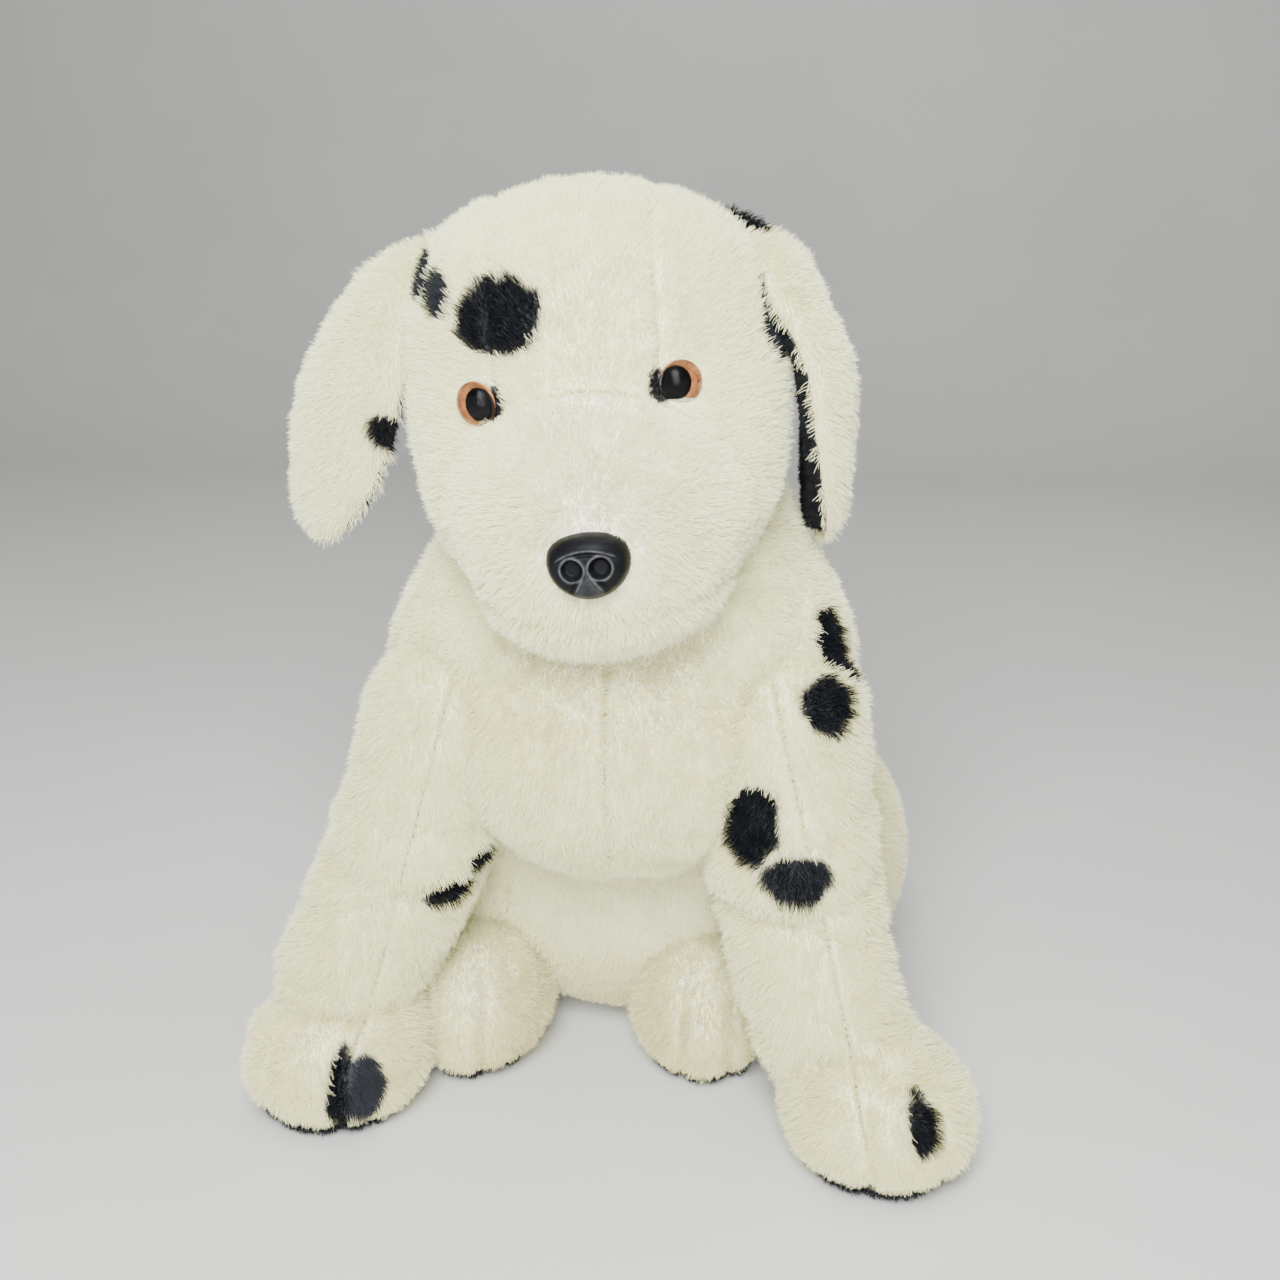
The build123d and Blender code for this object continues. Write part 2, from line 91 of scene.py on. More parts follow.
def egg(p, centre, radii):
    """Ellipsoid along the axes."""
    q = [(p[i] - centre[i]) / radii[i] for i in range(3)]
    near = np.sqrt(q[0] ** 2 + q[1] ** 2 + q[2] ** 2)
    slope = np.sqrt((q[0] / radii[0]) ** 2 + (q[1] / radii[1]) ** 2 + (q[2] / radii[2]) ** 2)
    return near * (near - 1) / np.maximum(slope, 1e-6)


def distance(p, centre):
    return np.sqrt(sum((p[i] - centre[i]) ** 2 for i in range(3)))


def along(p, start, end):
    """How far along a line each point is, from 0 to 1, and its distance from that line."""
    line = np.subtract(end, start)
    rel = [p[i] - start[i] for i in range(3)]
    t = np.clip(sum(rel[i] * line[i] for i in range(3)) / line.dot(line), 0, 1)
    return t, np.sqrt(sum((rel[i] - t * line[i]) ** 2 for i in range(3)))


def limb(p, start, end, first, last):
    """A tapered bar with ball ends."""
    t, away = along(p, start, end)
    return away - (first + (last - first) * t)


def merge(a, b, soft):
    """Union with a rounded inner corner."""
    h = np.clip(0.5 + 0.5 * (b - a) / soft, 0, 1)
    return b + (a - b) * h - soft * h * (1 - h)


def both(a, b, soft):
    """Intersection with a rounded edge."""
    return -merge(-a, -b, soft)


def dent(distance, width):
    """1 on a line and 0 away from it."""
    return np.exp(-((distance / width) ** 2))


def ramp(value, low, high):
    t = np.clip((value - low) / (high - low), 0, 1)
    return t * t * (3 - 2 * t)


def turned(p, centre, angle):
    """Points measured from a centre, turned about Z."""
    c, s = math.cos(angle), math.sin(angle)
    x, y = p[0] - centre[0], p[1] - centre[1]
    return c * x + s * y, c * y - s * x, p[2] - centre[2]


def lumps(p, size, seed):
    """Smooth random values from -1 to 1, with features of a given size."""
    lattice = np.random.default_rng(seed).uniform(-1, 1, (32, 32, 32)).astype(np.float32)
    q = [p[i] / size + 100 for i in range(3)]
    cell = [np.floor(v).astype(int) for v in q]
    f = [v - c for v, c in zip(q, cell)]
    f = [v * v * (3 - 2 * v) for v in f]
    total = 0
    for i in (0, 1):
        for j in (0, 1):
            for k in (0, 1):
                weight = 1
                for part, corner in zip(f, (i, j, k)):
                    weight = weight * (part if corner else 1 - part)
                total = total + weight * lattice[
                    (cell[0] + i) % 32, (cell[1] + j) % 32, (cell[2] + k) % 32
                ]
    return total


# ---------------- the puppy's proportions

NECK = pivot("head_turn")
NECK_RADIUS = 78
HOLLOW_RADIUS = NECK_RADIUS + 3      # the hollow in the head that turns on the neck
NECK_SEAM = NECK[2] + 9              # height of the seam round the neck
EYES = {side: place(f"eye_iris_{side}", 0.5, 0.1, 0.5) for side in SIDES}
ROLL = math.atan2(EYES["left"][2] - EYES["right"][2], EYES["left"][0] - EYES["right"][0])
SHOULDER = {side: pivot(f"foreleg_{side}_swing") for side in SIDES}
PAW = {side: place(f"foreleg_sole_{side}", 0.5, 0.5, 1) for side in SIDES}
FOOT = {side: place(f"hind_foot_sole_{side}", 0.5, 0.5, 1) for side in SIDES}
FOOT["right"] = FOOT["right"] - (8, 8, 0)
TOE_OUT = {"left": 0.28, "right": -0.22}        # how far each forepaw is turned out, in radians
HEEL_OUT = 0.10
ELBOW_SHIFT = {"left": -5, "right": 6}          # each leg's bow in X, off a straight line
WRIST_SHIFT = {"left": -13, "right": -8}
UPPER_RADIUS = {"left": 36, "right": 33.5}
LEG_RADIUS = 34
WRIST_RADIUS = 31.5


def at_paw(p, side):
    """Points along a forepaw's own axes, from under its middle."""
    return turned(p, (PAW[side][0], PAW[side][1], 0), TOE_OUT[side])


def head_place(u, v, w):
    """A point given from the neck pivot, along the rolled head's own axes."""
    c, s = math.cos(ROLL), math.sin(ROLL)
    return np.array([NECK[0] + c * u - s * w, NECK[1] + v, NECK[2] + s * u + c * w])


def in_head(p):
    c, s = math.cos(ROLL), math.sin(ROLL)
    x, y, z = p[0] - NECK[0], p[1] - NECK[1], p[2] - NECK[2]
    return c * x + s * z, y, c * z - s * x


def neck_ball(p, radius):
    return distance(p, NECK) - radius


# ---------------- body
# A function called ..._part is negative where its panel is: the seams run along its zero.

def chest(p):
    return egg(p, (0, -82, 173), (82, 62, 68))


def haunch(p, side):
    return egg(p, (77 * SIDES[side], 8, 72), (62, 79, 71))


def trunk(p):
    return merge(egg(p, (0, 0, 86), (98, 89, 92)), egg(p, (0, -40, 166), (92, 80, 74)), 34)


def torso(p):
    """The whole body, with the neck that fills the hollow of the head."""
    x, y, z = p
    form = trunk(p)
    for side in SIDES:
        form = merge(form, egg(p, (50 * SIDES[side], -60, 198), (56, 58, 56)), 24)
    form = merge(form, neck_ball(p, NECK_RADIUS), 34)
    form = merge(form, chest(p), 9)
    for side in SIDES:
        form = merge(form, haunch(p, side), 13)
    form = form + 1.6 * dent(x, 2.6) * ramp(-y, 90, 110) * ramp(z, 112, 125)
    for side, s in SIDES.items():
        crease = s * x - 66 - 0.16 * (z - 150)
        form = form + 3.0 * dent(crease, 5) * ramp(-y, 60, 90) * ramp(z, 130, 165)
    return both(form, FLOOR_GAP - z, 5)


def chest_part(p):
    x, y, z = p
    hem = 107 + 0.0045 * x ** 2
    return np.maximum(hem - z, y + 92 - 0.10 * np.abs(x))


def belly_part(p):
    x, y, z = p
    return np.maximum(np.abs(x) - 52 - 0.14 * (100 - z), y + 36)


def seat_part(p):
    return np.maximum(np.hypot(p[0] / 56, p[1] / 46) * 50 - 50, p[2] - 8)


def thigh_part(p, side):
    return np.maximum(haunch(p, side) - trunk(p), -seat_part(p))


# ---------------- neck, head

def neck_part(p):
    return NECK_SEAM - p[2]


def head_whole(p):
    """The head before the hollow for the neck is taken out."""
    q = in_head(p)
    u, v, w = q
    form = egg(q, (0, -17, 91), (80.5, 75, 77))
    form = merge(form, egg(q, (-30, -25, 118), (42, 50, 46)), 8)
    form = merge(form, egg(q, (28, -25, 114), (44, 50, 46)), 8)
    form = merge(form, egg(q, (2, -50, 54), (72, 56, 50)), 28)
    form = merge(form, egg(q, (1, -74, 37), (61, 51, 46)), 20)
    form = merge(form, egg(q, (1, -84, 10), (41, 34, 25)), 22)
    for side in SIDES:
        form = form + 2.6 * dent(distance(q, in_head(EYES[side])), 13)
    return form + 1.2 * dent(np.abs(u) - 33, 3) * ramp(w, 100, 120) * ramp(-v, -40, 0)


def head(p):
    return both(head_whole(p), -neck_ball(p, HOLLOW_RADIUS), 2)


def muzzle_part(p):
    return egg(in_head(p), (0, -118, 20), (86, 60, 76))


def chin_part(p):
    u, _, w = in_head(p)
    return np.maximum(muzzle_part(p), w - 4 - 0.10 * np.abs(u))


def crown_part(p):
    u, _, w = in_head(p)
    return np.maximum(np.abs(u) - 33, 40 - w)


# ---------------- limbs

def wrist(side):
    return PAW[side] + 0.17 * (SHOULDER[side] - PAW[side]) + (WRIST_SHIFT[side], 4, 22)


def elbow(side):
    return (SHOULDER[side] + wrist(side)) / 2 + (ELBOW_SHIFT[side], 3, 0)


def foreleg(p, side):
    x, y, z = p
    top, middle, low = SHOULDER[side], elbow(side), wrist(side)
    form = merge(limb(p, top, middle, UPPER_RADIUS[side], LEG_RADIUS),
                 limb(p, middle, low, LEG_RADIUS, WRIST_RADIUS), 6)
    q = at_paw(p, side)
    paw = merge(egg(q, (0, -10, 22), (39.5, 42, 36)), egg(q, (0, 6, 26), (32, 33, 31)), 10)
    form = merge(form, paw, 9)
    wobble = 2.5 * lumps(p, 28, 5)
    slant = 0.25 * (y - middle[1]) + 0.2 * SIDES[side] * (x - middle[0])
    form = form + 3.8 * dent(z - middle[2] - slant + wobble, 4.5)
    form = form + 2.6 * dent(z - middle[2] + 21 + slant - wobble, 4)
    form = form + 1.6 * dent(z - middle[2] - 30 - slant - wobble, 5)
    form = form + 2.6 * dent(z - low[2] + 6 + 0.3 * slant + wobble, 4)
    toes = ramp(-q[1], 16, 30) * ramp(50 - z, 0, 14)
    for line in (-13, 13):
        form = form + 3.2 * dent(q[0] - line * (1 + 0.004 * (-q[1])), 2.6) * toes
    return both(form, FLOOR_GAP - z, 6)


def paw_sole(p, side):
    q = at_paw(p, side)
    return p[2] - 4 - 4 * ramp(-q[1], 15, 40)


def leg_split(p, side):
    """Outside the front and back seams of the foreleg, which run down its middle."""
    axis = PAW[side] - SHOULDER[side]
    t = (p[2] - SHOULDER[side][2]) / axis[2]
    middle = SHOULDER[side][0] + axis[0] * t
    return -SIDES[side] * (p[0] - middle - 2)


def hind_foot(p, side):
    q = turned(p, (FOOT[side][0], FOOT[side][1], 0), HEEL_OUT * SIDES[side])
    form = egg(q, (0, -10, 25), (32, 44, 38))
    form = merge(form, limb(q, (2 * SIDES[side], 10, 36), (14 * SIDES[side], 34, 44), 27, 24), 12)
    toes = ramp(-q[1], 22, 38) * ramp(54 - p[2], 0, 14)
    for line in (-10.5, 10.5):
        form = form + 3.0 * dent(q[0] - line, 2.4) * toes
    return both(form, FLOOR_GAP - p[2], 6)


def foot_sole(p, side):
    return p[2] - 4 - 2.5 * ramp(FOOT[side][1] - p[1], 10, 38)


TAIL_ROOT = pivot("tail_wag")
TAIL_TIP = place("tail_stuffing", 0.5, 0.9, 0.25)


def tail(p):
    middle = (TAIL_ROOT + TAIL_TIP) / 2 - (0, 0, 7)
    root = TAIL_ROOT - (0, 10, -4)
    form = merge(limb(p, root, middle, 13, 11), limb(p, middle, TAIL_TIP, 11, 8.5), 6)
    return both(form, FLOOR_GAP - p[2], 3)


# ---------------- markings

# centre in mm, size across, depth and height, and how black: head ones are in the head's axes
HEAD_MARKS = [
    ((-29, -80, 122), (18, 30, 16.5), 1.0),
    ((-40, -66, 124), (8, 22, 8), 1.0),
    ((-54.5, -54, 131), (7.5, 20, 10), 0.3),
    ((-65, -42, 139), (6, 16, 14), 0.45),
    ((79, -34, 106), (9, 16, 19), 0.35),
    ((10, 30, 160), (17, 15, 17), 1.0),
    ((-42, 52, 96), (16, 18, 20), 1.0),
    ((46, 50, 120), (13, 18, 12), 0.8),
]
MARKS = [
    ((101, -92, 222), (14, 18, 20), 1.0),
    ((93, -114, 198), (12, 19, 12), 1.0),
    ((63, -134, 149), (12, 22, 17), 1.0),
    ((83, -143, 128), (16, 20, 9.5), 0.8),
    ((-75, -121, 106), (12, 16, 6.5), 1.0),
    ((-60, -112, 117), (6, 12, 7), 1.0),
    ((140, 2, 38), (14, 16, 16), 1.0),
    ((-136, -6, 92), (16, 13, 10), 0.9),
    ((108, 52, 112), (17, 15, 13), 0.9),
    ((-118, 50, 60), (14, 18, 16), 1.0),
    ((-92, 42, 128), (14, 16, 16), 1.0),
    ((34, 72, 150), (20, 22, 15), 1.0),
    ((-40, 44, 196), (17, 18, 19), 1.0),
    ((-14, 92, 104), (15, 16, 14), 0.7),
    ((62, 20, 214), (14, 16, 12), 1.0),
    ((-104, -40, 190), (13, 17, 15), 0.9),
]
EYE_CORNER = (7.8, 0.5)            # inwards and down from the middle of the eye
EYE_CORNER_SIZE = (4.8, 12, 6.8)
TAIL_MARKS = [((0, 150, 25), (20, 16, 20), 1.0), ((6, 108, 40), (10, 9, 10), 1.0)]
PAW_MARKS = {
    "left": [((6, -40, 36), (7, 17, 13), 1.0)],
    "right": [((17, -40, 24), (5, 17, 22), 1.0), ((26, -40, 26), (8, 17, 15), 0.0)],
}


def inked(q, marks):
    """Whether each point is in a printed mark, from 0 to 1, and how black the mark is there."""
    cover, black = np.zeros(q[0].shape), np.zeros(q[0].shape)
    ragged = 0.16 * lumps(q, 9, 11) + 0.10 * lumps(q, 4, 12)
    for centre, size, depth in marks:
        away = np.sqrt(sum(((q[i] - centre[i]) / size[i]) ** 2 for i in range(3)))
        inside = ramp(1.18 - away + ragged, 0, 0.30)
        black = np.where(inside > cover, depth, black)
        cover = np.maximum(cover, inside)
    return np.stack([cover, black])


def body_ink(p):
    return inked(p, MARKS)


def head_ink(p):
    """The printed spots of the head, and the dark pile at the inner corner of each eye."""
    corners = []
    for side, s in SIDES.items():
        corner = np.array(in_head(EYES[side])) - (s * EYE_CORNER[0], 0, EYE_CORNER[1])
        corners.append((corner, EYE_CORNER_SIZE, 1.0))
    return inked(in_head(p), HEAD_MARKS + corners)


def leg_ink(p, side):
    q = at_paw(p, side)
    return np.maximum(inked(p, MARKS), inked(q, PAW_MARKS[side]))


def tail_ink(p):
    return inked(p, TAIL_MARKS)


def no_ink(p):
    return inked(p, [])


# ---------------- meshes

def sampled(low, high, step=STEP):
    axes = [np.arange(a, b + step, step, dtype=np.float32) for a, b in zip(low, high)]
    return np.meshgrid(*axes, indexing="ij")


def polygons(values, low, step):
    """The zero surface of sampled values: points in mm and four-sided faces."""
    volume = openvdb.FloatGrid(FAR)
    volume.copyFromArray(values.astype(np.float32))
    points, faces = volume.convertToQuads()
    return points * step + np.array(low), faces


def put(name, data):
    made = bpy.data.objects.new(name, data)
    bpy.context.collection.objects.link(made)
    return made


def mesh_object(name, points, faces):
    mesh = bpy.data.meshes.new(name)
    mesh.from_pydata((points * MM).tolist(), [], faces.tolist())
    mesh.validate()
    mesh.shade_smooth()
    return put(name, mesh)


def points_of(piece):
    return np.array([v.co for v in piece.data.vertices]) / MM


def ring_faces(rings, around):
    """Four-sided faces between rings of points that follow each other, with a cap on each end."""
    faces = []
    for start in range(0, (rings - 1) * around, around):
        for j in range(around):
            k = (j + 1) % around
            faces.append((start + j, start + k, start + around + k, start + around + j))
    last = (rings - 1) * around
    return faces, tuple(range(around))[::-1], tuple(range(last, last + around))


def normals_of(piece):
    flat = np.empty(len(piece.data.vertices) * 3, dtype=np.float32)
    piece.data.vertices.foreach_get("normal", flat)
    return flat.reshape(-1, 3)


def set_points(piece, points):
    piece.data.vertices.foreach_set("co", (points * MM).astype(np.float32).ravel())
    piece.data.update()


def note(piece, name, values):
    """Keeps a number or a direction on every point of a mesh."""
    values = np.asarray(values, dtype=np.float32)
    if values.ndim == 1:
        attribute = piece.data.attributes.new(name, "FLOAT", "POINT")
        attribute.data.foreach_set("value", values)
    else:
        attribute = piece.data.attributes.new(name, "FLOAT_VECTOR", "POINT")
        attribute.data.foreach_set("vector", values.ravel())


def age(p):
    """How far the pile goes towards its yellow tone, up to 1: more below the head as painted warm
    shade, most on the feet from dirt, and in a band across the chest.
    """
    x, y, z = p
    chest_band = dent(z - 196, 26) * ramp(-y, 95, 125) * (np.abs(x) < 62)
    feet = ramp(70 - z, 0, 45) * ramp(72 - np.abs(x), 0, 12) * ramp(-y, 30, 60)
    paws = 0.4 * ramp(60 - z, 0, 40) * ramp(-y, 90, 120)
    # The body below the head takes the yellow tone as painted warm shade.
    body = 0.40 * ramp(250 - z, 0, 60)
    total = 0.08 + body + 0.24 * chest_band + 0.65 * np.maximum(feet, paws) + 0.06 * lumps(p, 14, 31)
    return np.minimum(total, 1)


def note_pile(piece, points, normals, ink, pile, seam, nap):
    """Keeps what the strands and the cloth read. The nap is laid flat on the surface."""
    note(piece, "ink", ink[0])
    note(piece, "black", ink[1])
    note(piece, "pile", pile * MM)
    note(piece, "seam", seam)
    note(piece, "age", age(points.T))
    note(piece, "nap", nap - normals * np.sum(nap * normals, axis=1)[:, None])


def tufted(piece, points, amount, seed):
    """Moves each point along its normal, in the small tufts that short plush falls into."""
    p = points.T
    height = 0.9 * lumps(p, 26, seed) + 0.6 * lumps(p, 8, seed + 1) + 0.5 * lumps(p, 4.5, seed + 2)
    points = points + normals_of(piece) * (height * amount)[:, None]
    points[:, 2] = np.maximum(points[:, 2], LOWEST)
    set_points(piece, points)
    return points


def stands_for(node):
    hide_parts(node)


class Form:
    """A sewn form: its whole shape, sampled once, from which its panels are cut."""

    def __init__(self, body, shape, low, high, nap, ink, blend=None):
        self.body, self.shape, self.low = body, shape, low
        self.nap, self.ink, self.blend = nap, ink, blend
        self.space = sampled(low, high)
        self.values = shape(self.space)

    def panel(self, name, node, part, material, pile, fur, density=STRANDS, amount=1.0):
        """Cuts one panel out of the form's cloth, and grows its pile."""
        shell = np.maximum(self.values, -(self.values + CLOTH))
        shell = np.maximum(shell, part(self.space) + SEAM)
        piece = mesh_object(name, *polygons(shell, self.low, STEP))
        points = points_of(piece)
        outer = self.shape(points.T) > -OUTER_SKIN
        normals = normals_of(piece)
        points = np.where(outer[:, None], tufted(piece, points, amount, len(name)), points)
        set_points(piece, points)
        p = points.T
        edge = ramp(-part(p), 0, 6)
        grown = np.where(outer, pile(p) * (0.85 + 0.15 * edge), 0)
        # seam is 1 at the seam line and on the inner side; the cloth turns it into painted shade in the
        # seam creases.
        note_pile(piece, points, normals, self.ink(p), grown, np.where(outer, 1 - edge, 1), self.nap(p))
        self.finish(piece, node, material)
        if fur is not None:
            plush(piece, fur, density)

    def stuffing(self, name, node, part=None):
        """Fills the form, or a part of it, inside its cloth."""
        space = sampled(self.low, [axis.max() for axis in self.space], STUFFING_STEP)
        values = self.shape(space) + CLOTH + STUFFING_GAP
        if part is not None:
            values = np.maximum(values, part(space) + 1)
        piece = mesh_object(name, *polygons(values, self.low, STUFFING_STEP))
        tufted(piece, points_of(piece), 0.8, 71)
        self.finish(piece, node, FILLING)

    def finish(self, piece, node, material):
        piece.data.materials.append(material)
        stands_for(node)
        if self.blend:
            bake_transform(piece)
        else:
            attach(piece, self.body)


# ---------------- materials

class Shader:
    """A node material on one Principled shader."""

    def __init__(self, name, roughness, **sockets):
        self.material = bpy.data.materials.new(name)
        self.material.use_nodes = True
        self.tree = self.material.node_tree
        self.out = self.tree.nodes["Principled BSDF"]
        self.out.inputs["Roughness"].default_value = roughness
        for socket, value in sockets.items():
            self.out.inputs[socket.replace("_", " ")].default_value = value
        self.where = self.add("ShaderNodeTexCoord").outputs["Object"]

    def add(self, kind, **settings):
        node = self.tree.nodes.new(kind)
        for key, value in settings.items():
            setattr(node, key, value)
        return node

    def link(self, source, target):
        self.tree.links.new(source, target)

    def noise(self, scale, detail=4.0, rough=0.6):
        node = self.add("ShaderNodeTexNoise")
        node.inputs["Scale"].default_value = scale
        node.inputs["Detail"].default_value = detail
        node.inputs["Roughness"].default_value = rough
        self.link(self.where, node.inputs["Vector"])
        return node.outputs["Fac"]

    def reading(self, name):
        return self.add("ShaderNodeAttribute", attribute_name=name).outputs["Fac"]

    def shades(self, value, *stops):
        """Colours along a value."""
        node = self.add("ShaderNodeValToRGB")
        elements = node.color_ramp.elements
        while len(elements) < len(stops):
            elements.new(0.5)
        for element, (position, colour) in zip(elements, stops):
            element.position = position
            element.color = (*colour, 1)
        self.link(value, node.inputs["Fac"])
        return node.outputs["Color"]

    def mixed(self, factor, first, second):
        node = self.add("ShaderNodeMix", data_type="RGBA")
        self.link(factor, node.inputs["Factor"])
        for socket, colour in ((node.inputs[6], first), (node.inputs[7], second)):
            if isinstance(colour, tuple):
                socket.default_value = (*colour, 1)
            else:
                self.link(colour, socket)
        return node.outputs[2]

    def bump(self, height, strength, distance):
        node = self.add("ShaderNodeBump")
        node.inputs["Strength"].default_value = strength
        node.inputs["Distance"].default_value = distance
        self.link(height, node.inputs["Height"])
        self.link(node.outputs["Normal"], self.out.inputs["Normal"])

    def colour(self, source):
        self.link(source, self.out.inputs["Base Color"])


# linear colours of the pile: its root (darker and yellower than the tip: painted shade deep in the
# pile), tip and yellow tone (dirt, and painted shade on the body and in the cloth's seam creases), and
# three darks of the spots
CREAM = (0.88, 0.865, 0.475)
IVORY = (0.95, 0.962, 0.66)
BUFF = (0.73, 0.67, 0.34)
INK = (0.0015, 0.002, 0.003)
COAL = (0.005, 0.007, 0.011)
SLATE = (0.026, 0.029, 0.036)


def cloth_material(name, light, dark, fibre):
    """The woven back and root of the pile, with the printed spots."""
    s = Shader(name, 0.9, Sheen_Weight=0.08, Sheen_Roughness=0.5)
    plain = s.shades(s.noise(fibre), (0.3, dark), (0.7, light))
    # Towards the seam lines, and on the cloth's inner side, the colour goes up to 0.3 of the way to
    # BUFF: painted shade in the seam creases.
    shade_shine_and_wear = s.shades(s.reading("seam"), (0.5, (0, 0, 0)), (1.0, (0.3, 0.3, 0.3)))
    seam_shaded = s.mixed(shade_shine_and_wear, plain, BUFF)
    black = s.shades(s.noise(fibre * 1.3), (0.35, INK), (0.7, COAL))
    s.colour(s.mixed(s.reading("ink"), seam_shaded, s.mixed(s.reading("black"), SLATE, black)))
    s.bump(s.noise(fibre * 2, 6), 0.6, 0.0012)
    return s.material


def strand_material(name, root, tip, tone_colour, roughness=0.55):
    """One strand of pile, darker at its root as painted shade deep in the pile, toned in places by dirt
    and painted warm shade, with the printed marks.
    """
    s = Shader(name, roughness, Specular_IOR_Level=0.12)
    grown = s.add("ShaderNodeHairInfo").outputs["Intercept"]
    plain = s.mixed(s.reading("tone"), s.shades(grown, (0.0, root), (0.75, tip)), tone_colour)
    black = s.shades(grown, (0.3, INK), (1.0, COAL))
    s.colour(s.mixed(s.reading("printed"), plain, s.mixed(s.reading("black"), SLATE, black)))
    return s.material


PLUSH = cloth_material("plush_cloth", CREAM, (0.80, 0.76, 0.66), 260)
SHORT_PLUSH = cloth_material("short_plush_cloth", (0.90, 0.88, 0.80), (0.82, 0.79, 0.70), 420)
BLACK_PLUSH = cloth_material("black_plush_cloth", (0.020, 0.021, 0.024), (0.008, 0.008, 0.010), 420)
WHITE_PILE = strand_material("white_pile", CREAM, IVORY, BUFF)
BLACK_PILE = strand_material("black_pile", INK, (0.012, 0.013, 0.016), (0.008, 0.008, 0.010), 0.5)


def filling_material():
    s = Shader("polyester_filling", 0.95, Sheen_Weight=0.3)
    s.colour(s.shades(s.noise(140, 8), (0.3, (0.80, 0.80, 0.79)), (0.7, (0.95, 0.95, 0.94))))
    s.bump(s.noise(500, 8, 0.7), 0.8, 0.003)
    return s.material


FILLING = filling_material()


# ---------------- pile

SHORTEST = 0.0002           # pile shorter than this, in metres, isn't grown
TUFTS = 300.0               # tufts in a metre
SWIRLS = 95.0               # changes of direction in a metre
ROOT_RADIUS = 0.00013       # of a strand, in metres
TIP_RADIUS = 0.00004


